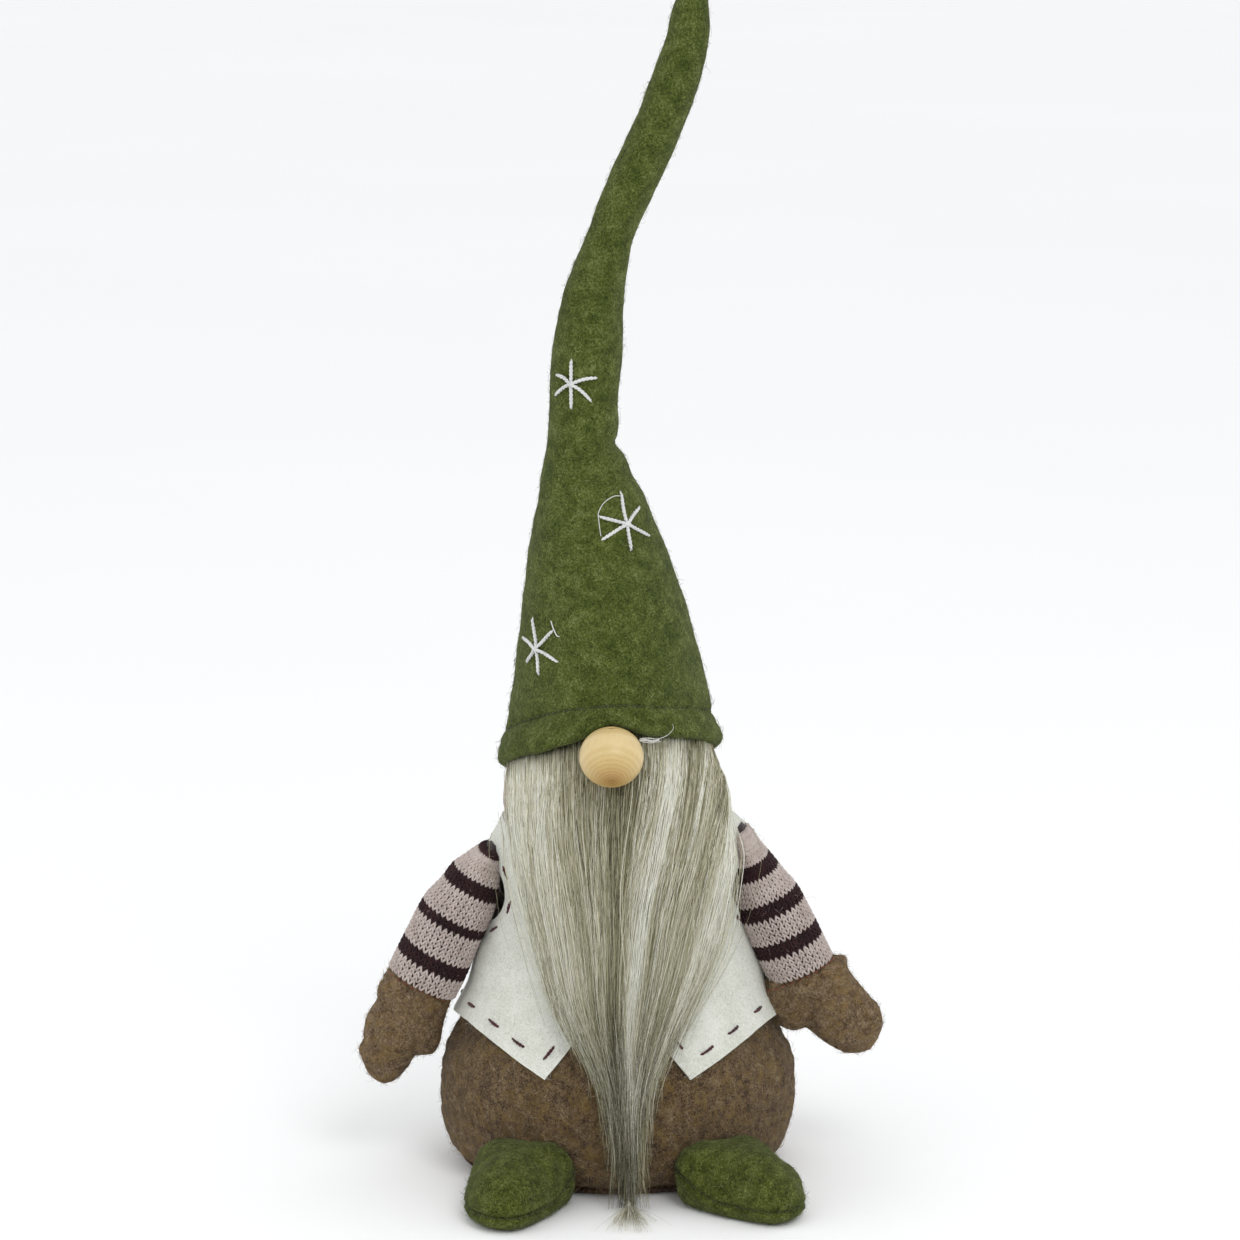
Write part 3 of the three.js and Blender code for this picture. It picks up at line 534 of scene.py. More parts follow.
mitten_felt = felt("mitten_felt_heather", MITTEN_HEATHER, fleck=(142, 114, 62), **HEATHER)
vest_felt = felt("vest_felt_white", VEST_WHITES, patch=16, relief=0.16, contrast=0.9)
green_fibre = fibre_material("fibre_green", GREEN_FIBRES)
heather_fibre = fibre_material("fibre_heather", HEATHER_FIBRES)
white_fibre = fibre_material("fibre_white", WHITE_FIBRES)
knit_fibre = fibre_material("fibre_knit", KNIT_FIBRES)
beard_fibre = fibre_material("beard_fibre", BEARD_GREYS, roughness=0.42, specular=0.4)
knit_light = yarn("knit_light", (138, 118, 112), (192, 177, 170), (222, 211, 205))
knit_dark = yarn("knit_dark", (20, 8, 10), (44, 22, 25), (76, 44, 47), sheen=0.06)
# Near-black yarn laid under the sleeves' stitches: painted shade in the gaps between them.
knit_shade_ground = yarn("knit_shade_ground", (24, 14, 14), (46, 32, 31), (80, 64, 62))
star_yarn = yarn("star_yarn_white", (176, 178, 176), (226, 228, 226), (244, 244, 242), 0.4)
maroon_yarn = yarn("stitch_yarn_maroon", (30, 14, 18), (62, 30, 36), (132, 60, 66), 0.4)
hem_thread = yarn("hem_thread_olive", (34, 42, 14), (56, 66, 26), (110, 116, 66), 0.3)
rust_thread = yarn("wrist_thread_rust", (92, 40, 26), (140, 72, 50), (176, 110, 78), 0.3)
pale_thread = yarn("sewing_thread_pale", (180, 178, 170), (220, 220, 214), (240, 240, 236), 0.3)
jersey = knitted("head_jersey_rose", (96, 60, 58), (146, 104, 98), (182, 146, 138))


# ---- Stage: camera, floor and light ----

CAMERA_TARGET = np.array([1.0, 0.0, 221.0])
CAMERA_DISTANCE = 1800.0
CAMERA_ELEVATION = 11 * DEGREE
CAMERA_LENS = 132.6
back_to_camera = np.array([0, -math.cos(CAMERA_ELEVATION), math.sin(CAMERA_ELEVATION)])
camera = bpy.data.objects.new("camera", bpy.data.cameras.new("camera"))
bpy.context.scene.collection.objects.link(camera)
camera.data.sensor_width = 36
camera.data.lens = CAMERA_LENS
camera.data.clip_start, camera.data.clip_end = 0.05, 60
camera.location = (CAMERA_TARGET + back_to_camera * CAMERA_DISTANCE) * MM
camera.rotation_euler = (math.pi / 2 - CAMERA_ELEVATION, 0, 0)
bpy.context.scene.camera = camera
bpy.context.scene.view_settings.view_transform = "Standard"

world = bpy.data.worlds.new("studio")
world.use_nodes = True
world.node_tree.nodes["Background"].inputs["Color"].default_value = (0.98, 0.99, 1.0, 1)
world.node_tree.nodes["Background"].inputs["Strength"].default_value = 0.97
bpy.context.scene.world = world


def area_light(name, place, aim, size, power):
    lamp = bpy.data.lights.new(name, "AREA")
    lamp.shape, lamp.size, lamp.energy = "DISK", size * MM, power
    made = bpy.data.objects.new(name, lamp)
    bpy.context.scene.collection.objects.link(made)
    made.location = np.array(place) * MM
    toward = np.array(aim, float) - np.array(place, float)
    made.rotation_mode = "QUATERNION"
    made.rotation_quaternion = Vector(toward).to_track_quat("-Z", "Y")


area_light("key", (500, -1300, 1500), (0, 0, 200), 900, 8)
area_light("fill", (-1300, -700, 700), (0, 0, 200), 1100, 1)

FLOOR_REACH = 40000
FLOOR_CORNERS = np.array([[-1, -1, 0], [1, -1, 0], [1, 1, 0], [-1, 1, 0]]) * FLOOR_REACH


def build_floor():
    material, tree, shader, at = start_material("floor_pale", Roughness=0.9, Specular_IOR_Level=0.1)
    colour = ramp(tree, cloudy(tree, at, 900.0), [(0.2, (250, 250, 250)), (0.8, (253, 253, 253))])
    tree.links.new(colour, shader.inputs["Base Color"])
    mesh_object("floor", FLOOR_CORNERS, [[[0, 1, 2, 3]]], material)


build_floor()


# ---- Body: a stuffed felt pear on an oval base ----

# Pairs of a height and the body's half width there
BODY_WIDTHS = [
    [0, 57], [5, 64.5], [14, 69.5], [30, 72], [46, 70.5],
    [60, 63.5], [78, 54], [98, 47.5], [125, 44.5], [140, 42],
]
BODY_DEPTH_RATIO = 0.83
BODY_TOP = 138
BODY_GROUND_GAP = 1.2
SIDE_SEAM_FROM = 25  # the side seams lie further out than this; nearer the middle there is none
# Pairs of a share of the body's width and a height, from under the base panel round its edge to its top
BASE_OUTLINE = [
    (0.3, 0.05), (0.6, 0.05), (0.85, 0.05), (0.985, 0), (1, 0.2), (1.008, 0.9),
    (1.004, 1.6), (0.985, 2), (0.8, 2), (0.4, 2), (0.02, 2),
]
OVERCAST_STITCHES = 150
body_width = smooth_keys(BODY_WIDTHS)


def body_point(angle, z, offset=0.0):
    """The body's surface at an angle and a height, moved out by offset."""
    width = body_width(z)
    x = (width + offset) * np.cos(angle)
    y = (width * BODY_DEPTH_RATIO + offset) * np.sin(angle)
    return stack(x, y, z)


def outside_body(points, offset):
    """Moves the points that are within offset of the body's surface straight out to it."""
    x, y, z = np.moveaxis(points, -1, 0)
    width = body_width(z) + offset
    depth = body_width(z) * BODY_DEPTH_RATIO + offset
    level = (z >= -5) & (z <= BODY_TOP + 2)
    share = np.sqrt((x / width) ** 2 + (y / depth) ** 2)
    push = np.where(level & (share < 1), 1 / np.maximum(share, 0.05), 1.0)
    return stack(x * push, y * push, z)


def build_body():
    heights = np.array([1.6, 3, 5, 8, 12, 17, *np.arange(23, 132, 6), 134, BODY_TOP])[:, None]
    body = closed_rings("body_skin", body_point(full_turn(72), heights, -1.0), body_felt)

    def held(points):
        near_seam = hump(points[:, 1], 4) * (np.abs(points[:, 0]) > SIDE_SEAM_FROM)
        ends = np.maximum(smoothstep(7, 2, points[:, 2]), smoothstep(128, 135, points[:, 2]))
        return np.clip(np.maximum(near_seam, ends), 0, 1)

    inflated(body, 5.0, 2.2, held, levels=2)
    points, normals = read_points(body)
    upright = smoothstep(0.75, 0.4, np.abs(normals[:, 2]))
    at_side = np.abs(points[:, 0]) > SIDE_SEAM_FROM
    seam = hump(points[:, 1], 1.1) * at_side * upright
    lips = hump(np.abs(points[:, 1]) - 2.6, 1.5) * at_side * upright
    puckers = np.sin(points[:, 2] * TURN / 6.5) * hump(points[:, 1], 5) * upright
    rise = -1.5 * seam + 0.35 * lips + 0.2 * puckers
    rise += lumps(points, (0.55, 21, 1), (0.4, 8, 2), (0.2, 3.2, 3))
    moved = points + normals * rise[:, None]
    moved[:, 2] = np.maximum(moved[:, 2], BODY_GROUND_GAP)
    write_points(body, moved)
    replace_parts(body, "body_front_panel", "body_back_panel", "body_stuffing")
    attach(body, "root")

    share, height = np.array(BASE_OUTLINE).T[..., None]
    rings = body_point(full_turn(180), 0 * share) * stack(share, share, 1) + stack(0, 0, height)
    base = closed_rings("base_felt", rings, body_felt, sharp=60)
    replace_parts(base, "base_panel")
    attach(base, "root")

    t = np.linspace(0, 1, 7)[None, :]
    angle = full_turn(OVERCAST_STITCHES).T + t * 0.55 * TURN / OVERCAST_STITCHES
    height = mix(0.7, 3.6, np.sin(t * math.pi / 2)) + 0 * angle
    paths = body_point(angle, height, 0.35 - 0.9 * (np.abs(2 * t - 1) ** 3))
    overcast = tubes("base_seam_stitches", paths, 0.24, maroon_yarn, 5)
    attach(overcast, "root")
    long_fuzz = fuzz("body_fuzz", body, 7400, 3.6, 0.1, 0.065, heather_fibre, "body_felt", 21)
    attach(long_fuzz, "root")

    def near_base(at, out):
        return (at[:, 2] < 12) & (at[:, 2] > 2.5)

    rim = fuzz("body_rim_fuzz", body, 500, 3.6, 0.25, 0.055, heather_fibre, "body_felt", 22, near_base, 0.7)
    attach(rim, "root")


build_body()


# ---- Head: a stuffed jersey ball ----

# Pairs of a height and the head's half width there
HEAD_WIDTHS = [
    [139, 38], [147, 41.5], [157, 41.2], [165, 39.5], [175, 37.8],
    [185, 35], [198, 29], [208, 20], [213, 11], [215, 0],
]
HEAD_DEPTH_RATIO = 0.86
HEAD_MIDDLE = -2.4
head_width = smooth_keys(HEAD_WIDTHS)


def head_point(angle, z, offset=0.0):
    """The head's surface, in the same way."""
    width = head_width(z)
    x = HEAD_MIDDLE + np.maximum(width + offset, 0) * np.cos(angle)
    y = np.maximum(width * HEAD_DEPTH_RATIO + offset, 0) * np.sin(angle)
    return stack(x, y, z)


def build_head():
    angles = full_turn(120)
    heights = np.r_[np.linspace(136.5, 200, 44), np.linspace(202, 214.6, 12)][:, None]
    rings = head_point(angles, np.maximum(heights, 139))
    rings[..., 2] = heights
    gather = smoothstep(150, 138, heights) * 0.5 * np.sin(angles * 34 + 2 * np.sin(angles * 5))
    outward = unit(rings * [1, 1, 0])
    cheek = 1.5 * hump((angles - math.pi) / DEGREE, 40)
    rise = gather + lumps(rings, (0.5, 16, 4), (0.2, 5, 5)) + cheek - 0.3
    rings = rings + outward * rise[..., None]
    head = closed_rings("head_ball", rings, jersey)
    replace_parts(head, "head_cover", "head_stuffing")
    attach(head, "root")


build_head()


# ---- Vest: thick felt fronts and back with running stitches ----

VEST_FELT = 2.0
VEST_LIFT = 1.0
VEST_HEM_SIDE, VEST_HEM_CORNER = 62.0, 50.0
VEST_HEM_DROP, VEST_HEM_ARCH = 23.3, 11.7  # the fronts' hem falls by one towards its corner, in an arch
VEST_CORNER_TURN = 23.0
VEST_NECK = 137.0
SHOULDER_TOPS = {1: 147.0, -1: 142.5}
SHOULDER_FLARES = {1: 9.0, -1: 5.0}
NECK_GAPS = {1: 3.4, -1: 0.0}  # the head sits a little to the figure's right of the body's middle
ARMHOLE_MIDDLE = {1: 118.0, -1: 114.0}
ARMHOLE_HALF_HEIGHT = 14.5
ARMHOLE_HALF_ANGLES = {False: 24.0, True: 8.0}  # in the fronts, and in the back
CORNER_GAPS = {1: 0.5, -1: 6.0}  # from each front's lower corner to the hem's first stitch


def vest_top(turn, sign):
    """Height of the vest's upper edge; turn is in degrees from the front's or the back's middle."""
    return mix(VEST_NECK, SHOULDER_TOPS[sign], smoothstep(35, 88, turn))


def vest_inset(z, sign, is_back):
    """How far the armhole eats into the side edge at height z, in degrees."""
    share = np.clip((z - ARMHOLE_MIDDLE[sign]) / ARMHOLE_HALF_HEIGHT, -1, 1)
    return ARMHOLE_HALF_ANGLES[is_back] * np.sqrt(1 - share**2)


def vest_open_edge(z):
    """Where each front's open edge is at height z, in degrees from the middle."""
    v = (z - VEST_HEM_CORNER) / (VEST_NECK - VEST_HEM_CORNER)
    return mix(VEST_CORNER_TURN, 4.0, np.clip(v * 2.6, 0, 1))


def vest_hem(turn, is_back):
    """Height of the vest's lower edge, which dips to a corner at each front's open edge."""
    if is_back:
        return VEST_HEM_SIDE + 0 * turn
    corner = math.sin(VEST_CORNER_TURN * DEGREE)
    share = (np.sin(turn * DEGREE) - corner) / (1 - corner)
    return VEST_HEM_SIDE - VEST_HEM_DROP * (1 - share) + VEST_HEM_ARCH * np.cos(turn * DEGREE)


def vest_point(turn, z, sign, is_back, offset):
    """A point of the vest: turn in degrees from the front's middle, or from the back's for the back."""
    middle = -FRONT if is_back else FRONT
    side = -sign if is_back else sign
    angle = middle + side * turn * DEGREE
    shoulder = hump(90 - turn, 27)
    slope = np.clip((SHOULDER_TOPS[sign] + 1 - z) / 13, 0, 1)
    flare = shoulder * (SHOULDER_FLARES[sign] * smoothstep(110, 130, z) * slope)
    flare = flare - NECK_GAPS[sign] * shoulder * smoothstep(136, 146, z)
    hem_kick = 0.5 * smoothstep(12, 0, z - vest_hem(turn, is_back))
    side_drape = 3.0 * hump(90 - turn, 32) * hump(z - 88, 14)  # the felt hangs straight past the waist
    on_body = body_point(angle, np.minimum(z, BODY_TOP), VEST_LIFT + offset + flare + hem_kick + side_drape)
    points = stack(on_body[..., 0], on_body[..., 1], z)
    outward = unit(points * [1, 1, 0])
    wave = lumps(points, (0.5, 26, 6), (0.22, 7, 7), (0.1, 2.5, 8))
    return points + outward * wave[..., None]


def vest_panel(name, node_name, sign, is_back, columns=56, rows=72):
    """A front, with sign +1 for the figure's left one, or the back, made from two halves that meet."""
    v = np.linspace(0, 1, rows)[:, None]

    def half(half_sign, u):
        turn = 90.0 * u + 0 * v
        for _ in range(4):  # the edges depend on the height, and the height on the place between the edges
            hem, top = vest_hem(turn, is_back), vest_top(turn, half_sign)
            z = mix(hem, top, v)
            near = 0.0 if is_back else vest_open_edge(z)
            turn = mix(near, 90.0 - 0.25 - vest_inset(z, half_sign, is_back), u)
        hem, top = vest_hem(turn, is_back), vest_top(turn, half_sign)
        z = mix(hem, top, v)
        return [vest_point(turn, z, half_sign, is_back, offset) for offset in (VEST_FELT, 0.0)]

    u = np.linspace(0, 1, columns)[None, :]
    if is_back:
        left, right = half(1, u[:, ::-1]), half(-1, u[:, 1:])
        outer, inner = (np.concatenate([a, b], axis=1) for a, b in zip(left, right))
    else:
        outer, inner = half(sign, u)
    panel = shell(name, outer, inner, False, vest_felt, 40)
    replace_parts(panel, node_name)
    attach(panel, "root")
    return panel


def dashes(route, first, stitch, gap, points=7, bow=1.0, radius=0.68, sink=0.7, widening=0.0):
    """Running stitches along a line of points: raised in their middle, with their ends in the felt.

    first is where the first one starts, and stitch and gap are lengths along the line. bow is how far a
    stitch's middle rises from its ends, and sink how deep the ends lie. widening makes every gap longer than
    the one before it.
    """
    lengths = np.r_[0, np.cumsum(np.linalg.norm(np.diff(route, axis=0), axis=1))]
    number = np.arange(int(lengths[-1] / (stitch + gap)) + 1)
    starts = first + (stitch + gap) * number + widening * number**2
    starts = starts[starts < lengths[-1] - stitch]
    if not len(starts):
        return np.empty((0, points, 3)), np.empty((0, points))
    t = np.linspace(0, 1, points)
    at = starts[:, None] + t[None, :] * stitch
    paths = np.stack([np.interp(at, lengths, route[:, axis]) for axis in range(3)], -1)
    outward = unit(paths * [1, 1, 0])
    lift = bow * np.sin(t * math.pi) ** 0.5 - sink
    thick = radius * (0.55 + 0.45 * np.sin(t * math.pi) ** 0.5)
    return paths + outward * lift[None, :, None], np.broadcast_to(thick, at.shape)


def two_ply(paths, radii, pitch, phase=0.0):
    """Splits each yarn into two thinner plies wound round each other, once in every pitch mm."""
    along = unit(np.gradient(paths, axis=1))
    across = unit(np.cross(along, [0.2, 0.9, 0.3]))
    up = np.cross(across, along)
    steps = np.linalg.norm(np.diff(paths, axis=1), axis=2)
    travelled = np.concatenate([np.zeros((len(paths), 1)), np.cumsum(steps, axis=1)], axis=1)
    turn = (travelled / pitch * TURN + phase)[..., None]
    side = across * np.cos(turn) + up * np.sin(turn)
    shift = side * (radii * 0.48)[..., None]
    return np.concatenate([paths + shift, paths - shift]), np.concatenate([radii, radii]) * 0.62


def build_vest_stitches():
    found = []
    for sign in (1, -1):
        z = np.linspace(VEST_HEM_CORNER + 4.6, 132, 60)
        front_edge = vest_point(vest_open_edge(z) + 5.6, z, sign, False, VEST_FELT)
        corner_gap = CORNER_GAPS[sign]
        turn = np.linspace(28, 89, 60)
        hem = vest_point(turn, vest_hem(turn, False) + 5.4, sign, False, VEST_FELT)
        turn = np.linspace(89, 1, 80)
        back_hem = vest_point(turn, vest_hem(turn, True) + 5.4, sign, True, VEST_FELT)
        found.append(dashes(hem, corner_gap - 0.5, 8.4, 5.6, radius=0.74, widening=1.5))
        found.append(dashes(back_hem, 4.0, 7.6, 7.2))
        found.append(dashes(front_edge, 7.6 - corner_gap, 8.2, 6.4, radius=0.74))
        for is_back in (False, True):
            lap = np.linspace(-75, 84, 40) * DEGREE
            z = ARMHOLE_MIDDLE[sign] + (ARMHOLE_HALF_HEIGHT + 4.5) * np.sin(lap)
            turn = 90 - (ARMHOLE_HALF_ANGLES[is_back] + 6.0) * np.cos(lap)
            found.append(dashes(vest_point(turn, z, sign, is_back, VEST_FELT), 5.0, 7.0, 7.5))
        turn = np.linspace(80, 3, 60)
        neck = vest_point(turn, vest_top(turn, sign) - 5.0, sign, True, VEST_FELT)
        found.append(dashes(neck, 3.0, 7.0, 7.0))
    paths, radii = (np.concatenate(parts) for parts in zip(*found))
    plies, thick = two_ply(paths, radii, 3.4)
    stitches = tubes("vest_stitches", plies, thick, maroon_yarn, 6)
    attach(stitches, "root")


def build_vest():
    panels = {}
    for side, sign in (("left", 1), ("right", -1)):
        panels[side] = vest_panel(f"vest_front_{side}_felt", f"vest_front_{side}", sign, False)
    panels["back"] = vest_panel("vest_back_felt", "vest_back", 1, True, 44)
    build_vest_stitches()
    for place, count, seed in (("left", 500, 31), ("right", 500, 31), ("back", 600, 32)):
        name = f"vest_fuzz_{place}"
        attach(fuzz(name, panels[place], count, 3.0, 0.2, 0.05, white_fibre, "vest_felt", seed), "root")


build_vest()


# ---- Hat: one bent cone of felt with a folded hem ----

# The hat by height: its half width, its middle's x and y, and its depth as a share of its width
HAT_WIDTHS = [
    [152, 45.2], [165, 44.6], [174, 43.4], [183, 40.6], [212, 35.4], [242, 28.5], [269, 20.9], [285, 15.1],
    [294, 13.4], [325, 14.2], [353, 11.6], [374, 9.8], [391, 10.7], [427, 9.9], [447, 8.4], [463, 6.3],
    [469, 4], [472, 0],
]
HAT_CENTRES = [
    [152, -2.4], [183, -2.8], [212, -3.6], [242, -7.1], [269, -10.5], [285, -13.3], [294, -13.8],
    [325, -11.6], [353, -7.9], [374, -1.7], [391, 5], [427, 20.4], [447, 26.7], [463, 28.9], [472, 29],
]
HAT_LEAN = [[152, 0], [200, 1], [291, 6], [472, 6]]
HAT_DEPTH_RATIOS = [[152, 0.97], [250, 0.94], [472, 0.92]]
HAT_CONE_ROWS_TO = 277.0
HAT_SPLIT = 323.0
HAT_TOP = 472.0
HAT_FELT = 2.2
BRIM_HEIGHT, BRIM_LEFT_RISE, BRIM_FRONT_RISE = 167.0, 4.0, 14.3
HEM_HEIGHT, HEM_DIP = 13.4, 2.6
NOSE = np.array([-2.3, -53.0, 177.6])
NOSE_RADIUS, NOSE_HEIGHT, NOSE_BORE = 12.4, 23.4, 2.0
hat_width, hat_centre = smooth_keys(HAT_WIDTHS), smooth_keys(HAT_CENTRES)
hat_lean, hat_depth = smooth_keys(HAT_LEAN), smooth_keys(HAT_DEPTH_RATIOS)


def hat_point(angle, z, offset=0.0):
    """The plain cone's surface, in the same way as the body's."""
    width = hat_width(z)
    x = hat_centre(z) + np.maximum(width + offset, 0) * np.cos(angle)
    y = hat_lean(z) + np.maximum(width * hat_depth(z) + offset, 0) * np.sin(angle)
    return stack(x, y, z)


def brim_height(angle):
    """Height of the hat's lower edge: higher in front, and a little higher on the figure's left."""
    return BRIM_HEIGHT + BRIM_LEFT_RISE * np.cos(angle) - BRIM_FRONT_RISE * np.sin(angle)


def over_nose(angle):
    """1 in front of the nose, and 0 away from it."""
    x = HEAD_MIDDLE + 43 * np.cos(angle)
    return hump(x - NOSE[0], 11) * (np.sin(angle) < 0)


def pushed_out(angle, z):
    """How far the nose, which sits in the hem, pushes the felt forwards."""
    return 4.2 * over_nose(angle) * np.exp(-np.maximum(z - 184, 0) / 7)


def hem_stitch_height(angle):
    """Height of the hem's line of stitches, which dips on the figure's front left."""
    return brim_height(angle) + HEM_HEIGHT - HEM_DIP * hump(from_zero(angle) + 50 * DEGREE, 35 * DEGREE)


# How far the felt stands out: by the share of the hem's height, and by the height above the hem's stitches
HEM_BULGE = [[0, -1.3], [0.06, -0.3], [0.2, 0.5], [0.45, 0.7], [0.75, 0.3], [0.92, -0.6], [1, -1.5]]
ABOVE_HEM = [[0, -1.5], [1.2, -0.8], [4, 0], [10, 0.15], [22, 0]]
hem_bulge, above_hem = smooth_keys(HEM_BULGE), smooth_keys(ABOVE_HEM)


def hat_relief(angle, z):
    """How far the felt stands off the plain cone: its kink, folds, back seam and lumps."""
    left_side = np.maximum(np.cos(angle), 0)
    kink = -1.6 * hump(z - 290.5, 2.4) * left_side**1.5 + 0.8 * hump(z - 283, 5) * left_side
    kink += 0.7 * hump(z - 299, 6) * left_side**2
    points = hat_point(angle, z)
    upper = smoothstep(250, 300, z)
    folds = mix(0.9, 1.0, upper) * noise(points * [1, 1, 0.7], 24, 9) + 0.5 * noise(points, 10, 10)
    folds += 0.16 * noise(points, 3.4, 11)
    low_line = points[..., 2] - 284 + 9 * np.cos(angle + 0.9)
    crease = -0.9 * hump(low_line, 3) * smoothstep(0.2, 0.9, np.sin(angle + 0.6))
    high_line = points[..., 2] - 362 + 6 * np.cos(angle + 2.6)
    crease += -0.7 * hump(high_line, 3.2) * smoothstep(0.0, 0.9, np.cos(angle + 2.4))
    arc = (from_zero(angle) - math.pi / 2) * np.maximum(hat_width(z), 4)
    seam = -1.1 * hump(arc, 0.8) + 0.5 * hump(np.abs(arc) - 2.2, 1.3)
    fade = smoothstep(HAT_TOP, HAT_TOP - 12, z)
    return (kink + folds + crease + seam) * (0.25 + 0.75 * fade)


def hat_outside(low, high):
    """For fuzz: tells which faces of the hat look outwards and lie between two heights."""

    def keep(at, out):
        middle = stack(hat_centre(at[:, 2]), hat_lean(at[:, 2]), at[:, 2])
        return (np.einsum("ij,ij->i", at - middle, out) > 0) & (at[:, 2] > low) & (at[:, 2] < high)

    return keep


def hat_lower():
    """The cone with its folded hem, and the tail, in one skin."""
    angles = full_turn(208)
    hem_rows = np.linspace(0, 1, 17)[:, None]
    cone_rows = np.linspace(0, 1, 96)[1:, None]
    tail_rows = np.linspace(HAT_CONE_ROWS_TO, HAT_SPLIT, 45)[1:, None]
    lower_edge = brim_height(angles) + 5.6 * over_nose(angles)
    lower_edge = lower_edge + 0.5 * noise(hat_point(angles, lower_edge), 7, 24)
    stitch_line = hem_stitch_height(angles)
    hem_z = mix(lower_edge, stitch_line, hem_rows)
    cone_z = mix(stitch_line, HAT_CONE_ROWS_TO, cone_rows)
    tail_z = tail_rows + 0 * angles
    z = np.concatenate([hem_z, cone_z, tail_z])
    proud = np.concatenate([hem_bulge(hem_rows) + 0 * angles, above_hem(cone_z - stitch_line), 0 * tail_z])
    ripple = 0.25 * np.sin(angles * 41) * hump(z - stitch_line, 2.5)
    place = hat_point(angles, z)
    ripple += lumps(place, (0.45, 6, 22), (0.3, 2.6, 23)) * smoothstep(8, -2, z - stitch_line)
    offset = proud + hat_relief(angles, z) + pushed_out(angles, z) + ripple
    thickness = np.where(z < stitch_line + 0.5, 4.0, HAT_FELT)  # the felt lies double in the hem
    outer = hat_point(angles, z, offset)
    inner = hat_point(angles, z, offset - thickness)
    roll = hat_point(angles, lower_edge - 0.7, offset[:1] - 1.4)
    inner_roll = hat_point(angles, lower_edge - 0.7, offset[:1] - 2.6)
    outer, inner = np.concatenate([roll, outer]), np.concatenate([inner_roll, inner])
    return shell("hat_felt_lower", outer, inner, True, hat_felt, 65)


def hat_upper():
    """The tip, which closes towards its top."""
    angles = full_turn(120)
    heights = np.r_[np.linspace(HAT_SPLIT, 462, 118), 464, 466, 467.6, 469, 470.2, 471.1, 471.7]
    z = heights[:, None] + 0 * angles
    offset = hat_relief(angles, z)
    outer = hat_point(angles, z, offset)
    inner = hat_point(angles, np.minimum(z, 466), offset - HAT_FELT)
    closing = np.linspace(0.1, 0.96, 8)[:, None, None] * [1, 1, 0]
    inner[-8:] = mix(inner[-8:], inner[-9:-8], closing)
    return shell("hat_felt_upper", outer, inner, True, hat_felt, 65)


def build_hat():
    lower, upper = hat_lower(), hat_upper()
    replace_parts(lower, "hat_cone", "hat_tail", "hat_cone_stuffing", "hat_tail_stuffing")
    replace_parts(upper, "hat_tip", "hat_tip_stuffing")

    turn = np.linspace(0, TURN, 1200)
    line_z = hem_stitch_height(turn)
    line = hat_point(turn, line_z, -1.5 + hat_relief(turn, line_z) + pushed_out(turn, line_z))
    paths, radii = dashes(line, 0.0, 2.0, 0.7, 5, 0.6, 0.38, 0.12)
    hem_stitches = tubes("hat_hem_stitches", paths, radii, hem_thread, 5)
    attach(hem_stitches, "root")

    fibre = {"material": green_fibre, "slot": "hat_felt", "radius": 0.055}
    low, high = hat_outside(150, HAT_SPLIT - 1), hat_outside(HAT_SPLIT + 1, 470)
    lower_fuzz = fuzz("hat_fuzz_lower", lower, 7400, 3.0, 0.1, seed=41, keep=low, **fibre)
    upper_fuzz = fuzz("hat_fuzz_upper", upper, 2800, 2.8, 0.12, seed=42, keep=high, **fibre)
    for piece in (lower, lower_fuzz):
        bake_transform(piece)
    for piece in (upper, upper_fuzz):
        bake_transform(piece)


build_hat()


# ---- Stars: embroidered on the hat, each of six stitches ----

# Each star's body, the x and z of its middle, how far its slanting stitches bow, and the direction in degrees
# and the length of every stitch
STARS = {
    "star_lower": (
        "root", -31.6, 213.2, 0.25,
        [(98, 11.9), (51, 10.9), (155, 6.5), (274, 10.3), (238, 7.9), (336, 9.5)],
    ),
    "star_middle": (
        "root", 2.9, 262.0, 0.1,
        [(100, 12.4), (44, 7.9), (163, 10.9), (282, 10.9), (212, 11.1), (327, 11.5)],
    ),
    "star_upper": (
        "hat_tail", -18.1, 315.4, 0.95,
        [(90, 10), (14, 11), (153, 7), (270, 10), (219, 8.8), (320, 11)],
    ),
}
# Each loose end's star and thickness, and points given by their steps in X and Z from the star's middle and
# by how far they stand off the felt
LOOSE_YARN = {
    "star_loop": (
        "star_middle", 0.16,
        [(-2.2, 10.3, 0.3), (-5.4, 10.5, 1.6), (-8.6, 8.4, 1.8), (-10.4, 4.6, 0.9), (-10.3, 2.4, 0.4),
         (-9.9, -1.2, 0.9), (-9.4, -4.2, 0.3)],
    ),
    "star_tail": ("star_lower", 0.24, [(5.9, 11.6, 0.5), (7.1, 8.9, 0.8), (8.2, 6.5, 0.6), (9.1, 6.1, 0.2)]),
}


def on_hat(x, z, lift):
    """The point of the hat's front at the given x and z, raised off the felt."""
    reach = np.clip((x - hat_centre(z)) / hat_width(z), -0.97, 0.97)
    angle = -np.arccos(reach)
    return hat_point(angle, z, hat_relief(angle, z) + lift)


def curve_through(points, count):
    """Evenly spaced points on a smooth line through the given ones."""
    key, t = np.linspace(0, 1, len(points)), np.linspace(0, 1, count)
    return np.stack([smooth_keys(list(zip(key, values)))(t) for values in zip(*points)], -1)


